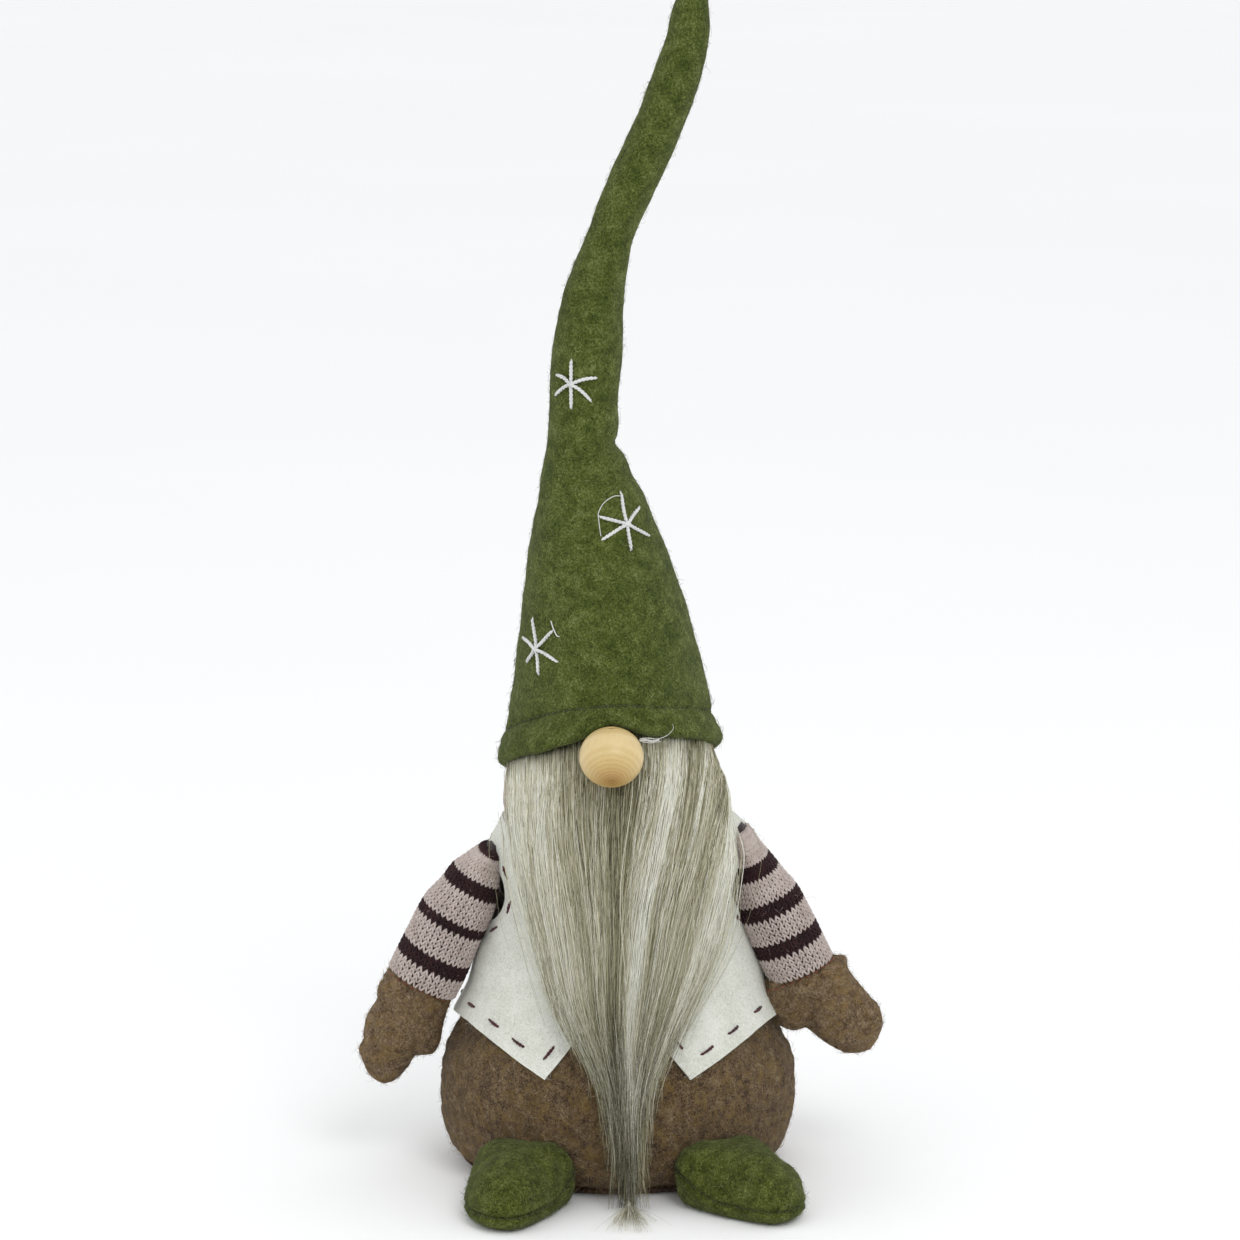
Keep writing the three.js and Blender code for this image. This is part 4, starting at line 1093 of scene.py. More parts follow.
def build_stars():
    t = np.linspace(0, 1, 22)
    radius = 0.74 * (1 - 0.35 * smoothstep(0.7, 1.0, t))
    for name, (rides_on, x, z, bow, stitches) in STARS.items():
        paths = []
        for i, (degrees, length) in enumerate(stitches):
            direction = degrees * DEGREE
            upright = abs(math.sin(direction)) > 0.9
            bowed = 0 if upright else bow * np.sin(t * math.pi)
            reach = mix(-0.06, 1.0, t) * length
            crossing = (0.5, 0.95, 1.3)[i % 3] * hump(reach, 2.0)  # the stitches lie over one another
            lift = 0.45 + crossing - 1.15 * smoothstep(0.88, 1.0, t)
            right, up = reach * math.cos(direction), reach * math.sin(direction) + bowed
            paths.append(on_hat(x + right, z + up, lift))
        plies, thick = two_ply(np.array(paths), np.tile(radius, (len(stitches), 1)), 3.1)
        star = tubes(f"{name}_yarn", plies, thick, star_yarn, 6)
        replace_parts(star, name)
        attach(star, rides_on)
    for name, (star_name, radius, steps) in LOOSE_YARN.items():
        rides_on, x, z = STARS[star_name][:3]
        line = curve_through(steps, 40)
        path = on_hat(x + line[:, 0], z + line[:, 1], line[:, 2])
        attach(tubes(name, path[None], radius, star_yarn, 5), rides_on)


build_stars()


# ---- Nose: a turned wooden bead on its thread ----

NOSE_LIP = 0.5
# The pith's droop sets the growth rings' direction and where the painted shade on the bead falls.
NOSE_GRAIN_AND_SHADE_DROOP = 38 * DEGREE
# The thread's loose strands, which lie over the hem's edge beside the bead: points, and radii at both ends
NOSE_STRANDS = [
    ([(8.5, -45.5, 182.5), (11, -45.2, 182.6), (13.5, -44.6, 182.0), (16.2, -44.0, 182.4)], 0.5, 0.3),
    ([(8.8, -45.6, 183.2), (12, -45.4, 183.4), (15.6, -44.2, 182.8), (19.5, -43.2, 184.2),
      (21.6, -42.6, 186.6), (21.2, -42.4, 188.4)], 0.2, 0.06),
    ([(9.3, -45.4, 182.1), (13, -44.8, 181.4), (16.9, -43.8, 181.8)], 0.24, 0.08),
]


def build_nose():
    mouth = math.asin(NOSE_BORE / NOSE_RADIUS)
    latitude = np.linspace(-math.pi / 2 + mouth, math.pi / 2 - mouth, 61)
    radius, height = NOSE_RADIUS * np.cos(latitude), NOSE_HEIGHT / 2 * np.sin(latitude)
    lip = np.linspace(0, math.pi / 2, 5)[1:]
    top_radius, top_height = radius[-1] - NOSE_LIP * np.sin(lip), height[-1] - NOSE_LIP * (1 - np.cos(lip))
    bore = np.linspace(height[-1] - 0.8, -height[-1] + 0.8, 12)
    bottom_radius, bottom_height = top_radius[::-1], -top_height[::-1]
    outline_radius = np.r_[radius, top_radius, np.full(12, top_radius[-1]), bottom_radius][:, None]
    outline_height = np.r_[height, top_height, bore, bottom_height][:, None]
    turn = full_turn(112)
    points = stack(outline_radius * np.cos(turn), outline_radius * np.sin(turn), outline_height) + NOSE
    index = ring_numbers(points)
    index = np.concatenate([index, index[:1]])  # the outline closes on itself too, through the bore
    wood = turned_wood("nose_wood_lacquered", NOSE, NOSE_RADIUS, NOSE_GRAIN_AND_SHADE_DROOP)
    bead = mesh_object("nose_bead_turned", points.reshape(-1, 3), [grid_quads(index)], wood, 50)
    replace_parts(facing_out(bead), "nose_bead")
    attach(bead, "root")

    z = np.linspace(NOSE[2] - 10.6, NOSE[2] + 10.6, 40)
    path = stack(NOSE[0] + 0 * z, NOSE[1] + 0 * z, z)[None]
    plies, thick = two_ply(path, np.full((1, 40), 0.62), 2.4)
    thread = tubes("nose_thread_ply", plies, thick, pale_thread, 6)
    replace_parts(thread, "nose_thread")
    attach(thread, "root")

    for i, (points, thick, thin) in enumerate(NOSE_STRANDS):
        path, radius = curve_through(points, 30), np.linspace(thick, thin, 30)
        strand = tubes(f"nose_thread_end_{i + 1}", path[None], radius[None], pale_thread, 5)
        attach(strand, "root")


build_nose()


# ---- Beard: long straight fur that hangs from the face ----

# The hanging fur by height: the x of its left and right edges, the y of its back, and its thickness
BEARD_LEFT = [
    [1, 5.0], [3, 5.2], [22, 6.5], [45, 10.5], [61, 17.5],
    [76, 26], [90, 34], [106, 40.5], [126, 44.5], [151, 46],
]
BEARD_RIGHT = [
    [1, 3.8], [3, 3.6], [22, 1.8], [38, -2], [53, -7],
    [69, -16.5], [84, -24], [102, -29.5], [126, -35.5], [151, -39],
]
BEARD_BACK = [[3, -66.5], [36, -65.5], [60, -60], [80, -54.5], [100, -48.5], [120, -44.5], [151, -41.4]]
BEARD_THICKNESS = [[3, 3], [30, 5], [80, 8], [151, 9.2]]
# How dark the fur is across the beard, from the figure's right edge (0) to its left edge (1)
BEARD_TONES = [
    [0, 0.18], [0.1, 0.22], [0.19, 0.34], [0.27, 0.6], [0.34, 0.46], [0.42, 0.68], [0.48, 0.62],
    [0.53, 0.08], [0.58, 0.12], [0.64, 0.5], [0.74, 0.58], [0.84, 0.4], [0.93, 0.1], [1, 0.1],
]
BEARD_SIDE_SWEEP = 12.0
BEARD_FACE_EDGES = -39.5, 46.0
LOCKS, HAIRS_IN_LOCK = 1060, 27
STRAYS, TRAILING = 900, 420
TONE_PIECES = 12  # a mesh holds 200,000 triangles at most, so the hairs are shared out by tone
beard_left, beard_right = smooth_keys(BEARD_LEFT), smooth_keys(BEARD_RIGHT)
beard_back, beard_thickness = smooth_keys(BEARD_BACK), smooth_keys(BEARD_THICKNESS)
beard_tone = smooth_keys(BEARD_TONES)


def face_sine(u, z, thick=5.0):
    """Sine of the angle from the front's middle at which hair u lies on the face."""
    return np.clip((mix(*BEARD_FACE_EDGES, u) - HEAD_MIDDLE) / (head_width(z) + thick), -0.985, 0.985)


def root_angle(u):
    """The angle round the head at which hair u comes out from under the hat."""
    return FRONT + np.arcsin(face_sine(u, 165.0))


def beard_point(u, z, w):
    """A place in the fur: u goes from its right edge (0) to its left (1), w from back (0) to front (1)."""
    x_low = mix(beard_right(z), beard_left(z), u)
    back = beard_back(z) + BEARD_SIDE_SWEEP * (x_low / 39) ** 2
    rounded = 1 - 0.55 * np.clip(np.abs(2 * u - 1), 0, 1.1) ** 3
    y_low = back - beard_thickness(z) * rounded * w
    sine = face_sine(u, z)
    free = smoothstep(-1, 17, brim_height(FRONT + np.arcsin(sine)) - z)
    thick = 1.3 + w * (2.6 + 6.4 * (1 - sine**2)) * free
    sine = face_sine(u, z, thick)
    x_high = HEAD_MIDDLE + (head_width(z) + thick) * sine
    y_high = -(head_width(z) * HEAD_DEPTH_RATIO + thick) * np.sqrt(1 - sine**2)
    high = smoothstep(130, 160, z)
    return stack(mix(x_low, x_high, high), mix(y_low, y_high, high), z)


def behind_nose(points):
    """Moves fur that would lie in the bead to the bead's back."""
    x, y, z = np.moveaxis(points, -1, 0)
    share = ((x - NOSE[0]) / (NOSE_RADIUS + 0.4)) ** 2 + ((z - NOSE[2]) / (NOSE_HEIGHT / 2 + 0.4)) ** 2
    back = NOSE[1] + (NOSE_RADIUS + 0.4) * np.sqrt(np.clip(1 - share, 0, 1)) + 0.2
    return stack(x, np.where(share < 1, np.maximum(y, back), y), z)


def beard_ends(rng, count):
    """Heights at which hairs end: as many reach down to each height as the beard is wide there."""
    z = np.linspace(1.5, 140, 200)
    width = (beard_left(z) - beard_right(z)) / 88.5
    alive = np.maximum.accumulate(width**0.85)
    return np.interp(rng.uniform(0.02, 0.97, count), alive, z)


def fur_blend(piece):
    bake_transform(piece)
    return piece


def low_tips_and_shade(u, z):
    """The fur darkens towards the bottom, partly as its own darker tips and partly as painted shade, least in
    the pale streak left of its middle.
    """
    return 0.33 * smoothstep(100, 38, z) * (1 - 0.75 * hump(u - 0.62, 0.13) * smoothstep(20, 55, z))


def build_undercoat():
    u = np.linspace(0.02, 0.97, 72)[None, :]
    v = np.linspace(0, 1, 110)[:, None]
    z = mix(brim_height(root_angle(u)) - 1.0, 7.0, v)
    leaning = u + 0.16 * smoothstep(165, 95, z) * smoothstep(0.3, 0.7, u)
    grooves = 0.13 * noise(stack(leaning * 78, z * 0.035, 0 * z), 1.9, 12)
    grooves += 0.1 * noise(stack(leaning * 30, z * 0.03, 0 * z), 1.5, 13)
    front = behind_nose(beard_point(u, z, 0.45 + grooves))
    back = behind_nose(beard_point(u, z, 0.0))
    mass = shell("beard_undercoat", front, back, False, beard_fibre, 70)
    shade = 0.46 + 0.4 * grooves + 0.6 * low_tips_and_shade(u, z)
    # The undercoat's back, against the body, gets a dark tone of 0.8: painted shade.
    values = np.concatenate([shade.ravel(), np.full(shade.size, 0.8)]).astype(np.float32)
    mass.data.attributes.new("tone", "FLOAT", "POINT").data.foreach_set("value", values)
    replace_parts(mass, "beard_fur_upper", "beard_fur_lower", "beard_backing")
    fur_blend(mass)


def build_locks(rng):
    """The fur itself: hairs that share a lock share its lean, tone, sway and length."""
    count = LOCKS * HAIRS_IN_LOCK
    lock_start = rng.uniform(-0.02, 1.19, LOCKS)
    lock_lean = -0.17 * smoothstep(0.3, 0.72, lock_start) + rng.normal(0, 0.027, LOCKS)
    lock_w = 1.04 - 0.62 * rng.uniform(0, 1, LOCKS) ** 1.4
    lock_end = beard_ends(rng, LOCKS)
    # Locks that lie deeper in the fur, at a smaller w, are darker: painted shade.
    lock_tone = beard_tone(lock_start + lock_lean + 0.02) + rng.normal(0, 0.2, LOCKS) + 0.45 * (0.85 - lock_w)
    lock_phase, lock_sway = rng.uniform(0, TURN, LOCKS), rng.uniform(0.3, 1.5, LOCKS)
    lock_mark = rng.normal(0, 0.34, LOCKS)

    def each(values, spread=0.0):
        """Each hair's value: its lock's, and a random step of its own."""
        return (np.repeat(values, HAIRS_IN_LOCK) + spread * rng.normal(size=count))[:, None]

    t = np.linspace(0, 1, 12)[None, :]
    gathered = 1 - 0.55 * smoothstep(0.1, 0.9, t)
    start_u = each(lock_start, 0.004)
    angle = root_angle(start_u)
    start = brim_height(angle) + 5.2 * over_nose(angle) - rng.uniform(-1.5, 7, (count, 1))
    end = np.clip(each(lock_end, 8.0), 1.3 + rng.exponential(9.0, (count, 1)), 118)
    z = mix(start, end, t)
    no_lock = np.zeros(LOCKS)
    u = start_u + each(no_lock, 0.02) * gathered + each(lock_lean) * smoothstep(174, 100, z)
    u = np.minimum(u, 0.96 + 0.16 * (u - 0.96))
    w = np.clip(each(lock_w) + each(no_lock, 0.08) * gathered, 0.1, 1.16)
    points = beard_point(u, z, w)
    sway = each(lock_sway) * np.sin(each(lock_phase) + t * 5.5)
    waves = np.sin(rng.uniform(0, TURN, (count, 1)) + t * rng.uniform(3, 9, (count, 1)))
    loose = smoothstep(0.1, 0.5, t)
    points[..., 0] += (sway + rng.normal(0, 0.6, (count, 1)) * waves) * loose
    points[..., 0] += rng.normal(0, 1.4, (count, 1)) * t**2.5
    drift = rng.normal(0, 0.5, (count, 1)) * loose
    points[..., 1] += drift - 0.8 * np.abs(rng.normal(0, 1, (count, 1))) * t**3
    points[..., 2] = np.maximum(points[..., 2], 0.5)
    points = behind_nose(points)
    tone = each(lock_tone, 0.1) + low_tips_and_shade(u, z) + each(lock_mark) * smoothstep(95, 45, z)
    # A little darker at the tips: the fur's own colour. Darker near the roots under the hat's hem, and under
    # the nose: painted shade.
    tone = tone + 0.04 * smoothstep(0.62, 1.0, t) + 0.17 * smoothstep(152, 180, z)
    tone = tone + 0.12 * hump(points[..., 0] - NOSE[0] - 1, 11) * hump(z - 158, 16)
    tone = np.clip(tone, 0.02, 0.98)
    taper = (1 - 0.75 * smoothstep(0.55, 1.0, t)) * mix(0.75, 1.0, smoothstep(0, 0.15, t))
    radius = rng.uniform(0.07, 0.145, (count, 1)) * taper
    for i, chosen in enumerate(np.array_split(np.argsort(tone.mean(1)), TONE_PIECES)):
        name = f"beard_fur_tone_{i + 1}"
        fur_blend(tubes(name, points[chosen], radius[chosen], beard_fibre, tone=tone[chosen]))


def build_stray_hairs(rng):
    """Single hairs that stand off the beard's sides."""
    side = rng.choice([0.0, 1.0], STRAYS)[:, None]
    start = rng.uniform(50, 150, STRAYS)[:, None]
    end = np.clip(start - rng.uniform(25, 90, STRAYS)[:, None], 1.5, 150)
    t = np.linspace(0, 1, 16)[None, :]
    z = mix(start, end, t)
    u = mix(0.08, 0.92, side) + rng.normal(0, 0.08, STRAYS)[:, None]
    points = beard_point(u + 0 * t, z, rng.uniform(0.6, 1.1, STRAYS)[:, None])
    out = np.where(side > 0.5, 1, -1) * np.minimum(rng.exponential(3.0, (STRAYS, 1)), 6.5) * t**1.6
    bends = np.sin(rng.uniform(0, TURN, (STRAYS, 1)) + t * rng.uniform(3, 8, (STRAYS, 1)))
    points[..., 0] += out + bends * t
    points[..., 1] -= rng.uniform(0, 2.5, (STRAYS, 1)) * t
    # Darker lower down: partly the fur's own darker tips, partly painted shade.
    tone = np.clip(rng.normal(0.35, 0.25, (STRAYS, 1)) + 0.4 * smoothstep(95, 40, z), 0, 1)
    fur_blend(tubes("beard_stray_hairs", points, 0.1 * (1 - 0.6 * t), beard_fibre, tone=tone))


def build_trailing_hairs(rng):
    """The longest hairs, which reach the ground and splay forwards over it."""
    t = np.linspace(0, 1, 16)[None, :]
    fall, trail = np.clip(1 - t / 0.55, 0, 1), np.clip((t - 0.4) / 0.6, 0, 1)
    z = 0.7 + 0.6 * rng.uniform(0, 1, (TRAILING, 1)) + rng.uniform(10, 32, (TRAILING, 1)) * fall**1.3
    u = rng.uniform(0.05, 0.95, (TRAILING, 1)) + 0 * t
    points = beard_point(u, z, rng.uniform(0.2, 1.0, (TRAILING, 1)))
    reach = np.minimum(rng.exponential(11.0, (TRAILING, 1)), 27)
    bends = np.sin(rng.uniform(0, TURN, (TRAILING, 1)) + t * rng.uniform(2, 6, (TRAILING, 1)))
    points[..., 0] += (rng.normal(0, 0.28, (TRAILING, 1)) * reach + 0.7 * bends) * trail**1.4
    points[..., 1] -= reach * trail**1.2
    points[..., 2] += 0.1 * reach * np.sin(trail * math.pi)
    # Darker where the hairs still hang at the beard's foot than where they lie out on the floor: painted
    # shade.
    tone = np.clip(rng.normal(0.33, 0.25, (TRAILING, 1)) + 0.35 * fall, 0, 1)
    radius = 0.12 * (1 - 0.6 * t)
    fur_blend(tubes("beard_trailing_hairs", points, radius, beard_fibre, tone=tone))


build_undercoat()
beard_rng = np.random.default_rng(11)
build_locks(beard_rng)
build_stray_hairs(beard_rng)
build_trailing_hairs(beard_rng)


# ---- Arms: knitted sleeves and felt mittens ----

SLEEVE_HALF_DEPTHS = [[-6, 4], [-4, 8], [0, 11.2], [14, 13.2], [30, 14], [58, 13.2]]
COURSE, WALES = 2.05, 34  # the height of a row of stitches, and the number of stitches in it
STRIPE_HALF_WIDTH = 2.75
CUFF = 58.4
WRIST = 59.0
MITTEN_START = -3.0
MITTEN_FULLNESS = 0.86
# Each arm: its side's sign, its pivot, how far sleeve and mitten hang out from straight down in degrees,
# and the places of the stripes along the sleeve. The outlines are pairs of a length along the sleeve or the
# mitten and a distance out or in from its middle line. The crease beside the thumb is (out, along) points.
ARMS = {
    "left": {
        "sign": 1,
        "pivot": (50.4, -6.0, 135.0),
        "sleeve": 23.0,
        "mitten": 46.0,
        "stripes": (12.0, 28.5, 45.5),
        "outer": [
            [-6, 1.2], [-4, 2.2], [0, 3.4], [5, 4.4], [10, 6], [19.5, 8.7], [27, 11], [37.6, 12], [58, 13],
        ],
        "inner": [[-6, 1.5], [-4, 3], [0, 5], [10.6, 8.6], [21, 12.2], [31, 14.4], [45, 14.4], [58, 13.4]],
        "mitten_outer": [
            [-4, 10], [0, 11], [2.5, 14.2], [6.4, 15.6], [9.8, 14], [13.5, 12.5], [19.6, 11.3], [26.3, 10.7],
            [32, 10.8], [35.6, 8.9], [38.4, 6.4], [40.7, 2.9], [42, -0.6], [42.6, -4.2],
        ],
        "mitten_inner": [
            [-4, 11.5], [-1.6, 14], [2.6, 19], [6.8, 22], [10.4, 22.4], [13.6, 21.3], [15.8, 19.3],
            [17.2, 17.2], [19.2, 16.3], [24.5, 15.5], [30.7, 14.6], [36.6, 12.4], [40.2, 9], [42, 6],
            [42.6, 4.2],
        ],
        "crease": [(-16.6, 17.5), (-9, 12.5), (-3, 5)],
    },
    "right": {
        "sign": -1,
        "pivot": (-51.0, -6.0, 127.5),
        "sleeve": 27.5,
        "mitten": 18.4,
        "stripes": (-4.0, 12.4, 29.8, 47.3),
        "outer": [
            [-6, 1.5], [-4, 3], [0, 5.4], [5, 8], [10, 10.6], [17, 11.8], [27, 14.4], [46, 14.4], [58, 14.2],
        ],
        "inner": [[-6, 2], [-4, 3.6], [0, 6], [10, 10.5], [20, 12], [33, 12.8], [50, 14.2], [58, 14.3]],
        "mitten_outer": [
            [-4, 12], [0.5, 14], [6.2, 15.2], [9.5, 15.5], [11, 14.6], [16.4, 15.5], [21, 15.8], [27, 15],
            [30.8, 14.2], [33.7, 15], [35.6, 13.9], [39.4, 11], [42.3, 7.6], [43.8, 4.6], [44.3, 2.6],
        ],
        "mitten_inner": [
            [-4, 12], [2, 13.3], [6.8, 13.3], [11.2, 13.6], [15.7, 14.1], [20.2, 14.6], [23.9, 14.4],
            [26.8, 12.9], [28, 9.8], [28.8, 7.2], [31.5, 6.3], [36, 5.3], [41.2, 2.6], [43.8, -0.9],
            [44.3, -2.4],
        ],
        "crease": [(-7.8, 27.8), (-5, 20), (-1, 13)],
    },
}
sleeve_half_depth = smooth_keys(SLEEVE_HALF_DEPTHS)


def hung(points, origin, sign, degrees):
    """Puts points given as (outwards, back, along the arm) where the arm hangs, so far from straight down."""
    out, depth, along = np.moveaxis(points, -1, 0)
    lean = degrees * DEGREE
    x = origin[0] + sign * (out * math.cos(lean) + along * math.sin(lean))
    z = origin[2] + out * math.sin(lean) - along * math.cos(lean)
    return stack(x, origin[1] + depth, z)


def middle_and_half(outer, inner):
    """The middle between an outer and an inner edge, and half the width there."""
    return (outer - inner) / 2, (outer + inner) / 2


def build_sleeve(side, arm):
    sign, pivot, lean = arm["sign"], arm["pivot"], arm["sleeve"]
    outer_edge, inner_edge = smooth_keys(arm["outer"]), smooth_keys(arm["inner"])

    def knit_point(angle, along, raised=0.0):
        """A point on the sleeve; angle 0 is its outer edge and -90 degrees its front."""
        middle, half = middle_and_half(outer_edge(along), inner_edge(along))
        out = middle + (half + raised) * np.cos(angle)
        depth = (sleeve_half_depth(along) + raised) * np.sin(angle)
        points = hung(stack(out, depth, along), pivot, sign, lean)
        # where the vest pushes the knit out, raised stitches stand towards the body
        return outside_body(points, VEST_LIFT + VEST_FELT + 1.3 - 0.8 * raised)

    rings = knit_point(full_turn(84), np.linspace(-5.4, CUFF - 0.6, 76)[:, None], -0.55)
    # The ground tube under the stitches is near-black: painted shade in their gaps.
    ground = closed_rings(f"sleeve_{side}_ground", rings, knit_shade_ground)
    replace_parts(ground, f"sleeve_{side}", f"sleeve_stuffing_{side}")
    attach(ground, f"arm_{side}")

    rng = np.random.default_rng(51 if sign > 0 else 52)
    course_count = int((CUFF + 4.6) / COURSE)
    courses = CUFF - COURSE * (np.arange(course_count) + 0.5)
    wale, row = np.meshgrid(np.arange(WALES), np.arange(course_count))
    wale, row = wale.ravel(), row.ravel()
    t = np.linspace(0, 1, 7)[None, :]
    to_stripe = np.min([np.abs(courses[row] - stripe) for stripe in arm["stripes"]], axis=0)
    is_dark = np.tile(to_stripe < STRIPE_HALF_WIDTH, 2)
    paths = []
    for leg in (-1, 1):  # a stitch is a V of two legs
        tilt = rng.normal(0, 0.09, wale.size)[:, None]
        across = leg * mix(0.08, 0.44, smoothstep(0, 0.95, t)) + tilt * (t - 0.5)
        angle = (wale[:, None] + 0.5 + across) * TURN / WALES
        along = courses[row][:, None] + COURSE * mix(0.86, -0.74, t) + rng.normal(0, 0.13, (wale.size, 1))
        along = np.clip(along, -5.2, CUFF + 0.4)
        bulge = -0.1 + 0.55 * np.sin(t * math.pi) - 0.3 * (1 - t) ** 2
        paths.append(knit_point(angle, along, bulge))
    paths = np.concatenate(paths)
    radius = 0.47 * (1 - 0.45 * np.abs(2 * t - 1) ** 2.5)
    radii = radius * rng.uniform(0.86, 1.12, (len(paths), 1))
    for shade, chosen, material in (("light", ~is_dark, knit_light), ("dark", is_dark, knit_dark)):
        name = f"sleeve_{side}_{shade}_stitches"
        stitches = tubes(name, paths[chosen], radii[chosen], material, 5)
        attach(stitches, f"arm_{side}")
    halo = fuzz(f"sleeve_{side}_fuzz", ground, 700, 2.2, 0.35, 0.045, knit_fibre, "sleeve_knit", 53, tone=0.6)
    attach(halo, f"arm_{side}")

    turn = full_turn(60)
    lift = np.linspace(-1, 1, 21)[:, None]
    around = np.sqrt(np.clip(1 - np.abs(lift) ** 2.4, 0.004, 1))
    cap = stack(2.0 * around * np.cos(turn), 6.0 * around * np.sin(turn), 2.5 * lift + 0 * turn)
    cap = cap * (1 + 0.05 * np.sin(turn * 9)[..., None]) + pivot
    seam = closed_rings(f"shoulder_gather_{side}", cap, knit_light)
    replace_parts(seam, f"shoulder_seam_{side}")
    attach(seam, f"shoulder_{side}")


def build_mitten(side, arm):
    sign, pivot = arm["sign"], np.array(arm["pivot"])
    sleeve_lean = arm["sleeve"] * DEGREE
    wrist = pivot + [sign * WRIST * math.sin(sleeve_lean), 0, -WRIST * math.cos(sleeve_lean)]
    outer_edge, inner_edge = smooth_keys(arm["mitten_outer"]), smooth_keys(arm["mitten_inner"])
    tip = arm["mitten_outer"][-1][0]
    half_thickness = smooth_keys(
        [[-4, 9.4], [0, 10.2], [10, 10.6], [24, 10.0], [tip - 7, 7.6], [tip - 2.5, 4.6], [tip, 1.6]]
    )
    slant = math.tan((arm["mitten"] - arm["sleeve"]) * DEGREE)

    def felt_point(angle, along, raised=0.0):
        """A point on the mitten, in the same terms; two flat halves, stuffed, are fuller than an oval."""
        middle, half = middle_and_half(outer_edge(along), inner_edge(along))
        out = middle + (half + raised) * np.cos(angle)
        fullness = np.sign(np.sin(angle)) * np.abs(np.sin(angle)) ** MITTEN_FULLNESS
        depth = (half_thickness(along) + raised) * fullness
        slid = along + slant * out * smoothstep(16, -3, along)
        return hung(stack(out, depth, slid), wrist, sign, arm["mitten"])

    rows = mix(MITTEN_START, tip, np.sin(np.linspace(0, 1, 46) * math.pi / 2) ** 0.9)[:, None]
    mitten = closed_rings(f"mitten_{side}_felt", felt_point(full_turn(64), rows), mitten_felt)

    def local(points):
        """Points in the mitten's own frame: outwards and along."""
        lean = arm["mitten"] * DEGREE
        dx, dz = (points[:, 0] - wrist[0]) * sign, points[:, 2] - wrist[2]
        return dx * math.cos(lean) + dz * math.sin(lean), dx * math.sin(lean) - dz * math.cos(lean)

    def held(points):
        _, along = local(points)
        seam = hump(points[:, 1] - wrist[1], 1.6) * 0.9
        return np.clip(np.maximum(seam, smoothstep(4, 0, along)), 0, 1)

    inflated(mitten, 1.35, 1.0, held, enlarge=4.0, levels=1)
    points, normals = read_points(mitten)
    out, along = local(points)
    depth = points[:, 1] - wrist[1]
    edge_on = 1 - normals[:, 1] ** 2
    seam = hump(depth, 0.6) * edge_on * smoothstep(-1, 2, along)
    lips = hump(np.abs(depth) - 1.5, 0.8) * edge_on * smoothstep(-1, 2, along)
    line = curve_through(arm["crease"], 24)
    near = np.min(np.hypot(out[:, None] - line[None, :, 0], along[:, None] - line[None, :, 1]), axis=1)
    fade = smoothstep(line[-1, 1] - 3, line[0, 1], along)
    rise = -0.75 * seam + 0.3 * lips - 2.2 * hump(near, 2.0) * fade * np.abs(normals[:, 1])
    wrinkles = np.sin((along + 0.35 * out) * 1.9 + 2.4 * noise(points, 8, 14)) * smoothstep(9, 2, along)
    rise += 0.3 * wrinkles + lumps(points, (0.5, 9, 15), (0.3, 3.4, 16), (0.12, 1.6, 17))
    write_points(mitten, points + normals * rise[:, None])
    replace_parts(mitten, f"mitten_rear_{side}", f"mitten_front_{side}", f"mitten_stuffing_{side}")
    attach(mitten, f"arm_{side}")
    hair = fuzz(f"mitten_{side}_fuzz", mitten, 2400, 2.8, 0.1, 0.055, heather_fibre, "body_felt", 61 + sign)
    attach(hair, f"arm_{side}")

    turn = np.linspace(-0.92 * math.pi, -0.04 * math.pi, 300)
    line = felt_point(turn, 1.0 + 0.25 * np.sin(turn * 23), 0.35)
    paths, radii = dashes(line, 0.0, 2.6, 1.1, 5, 0.35, 0.26, 0.1)
    thread = tubes(f"wrist_thread_{side}", paths, radii, rust_thread, 5)
    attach(thread, f"arm_{side}")


for side, arm in ARMS.items():
    build_sleeve(side, arm)
    build_mitten(side, arm)


# ---- Feet: stuffed felt slippers ----

FOOT_LENGTH, FOOT_WIDTH, FOOT_SEAM, FOOT_HEIGHT = 55.5, 39.5, 6.2, 24.0
FOOT_CLIMB = 9.0  # how far the edge seam rises towards the body
# Pairs of a share of the foot's width and a height, from the edge seam in to the sole's middle
FOOT_SOLE = [(1, 4.8), (0.985, 3.2), (0.95, 1.7), (0.9, 0.7), (0.83, 0.15), (0.74, 0), (0.5, 0), (0.2, 0)]
# Each foot's heel, how far it turns from straight ahead towards +X in degrees, and the sign of its inner side
FEET = {
    "left": {"heel": (32, -43), "turn": 38, "inner": -1},
    "right": {"heel": (-33, -42), "turn": -12, "inner": 1},
}


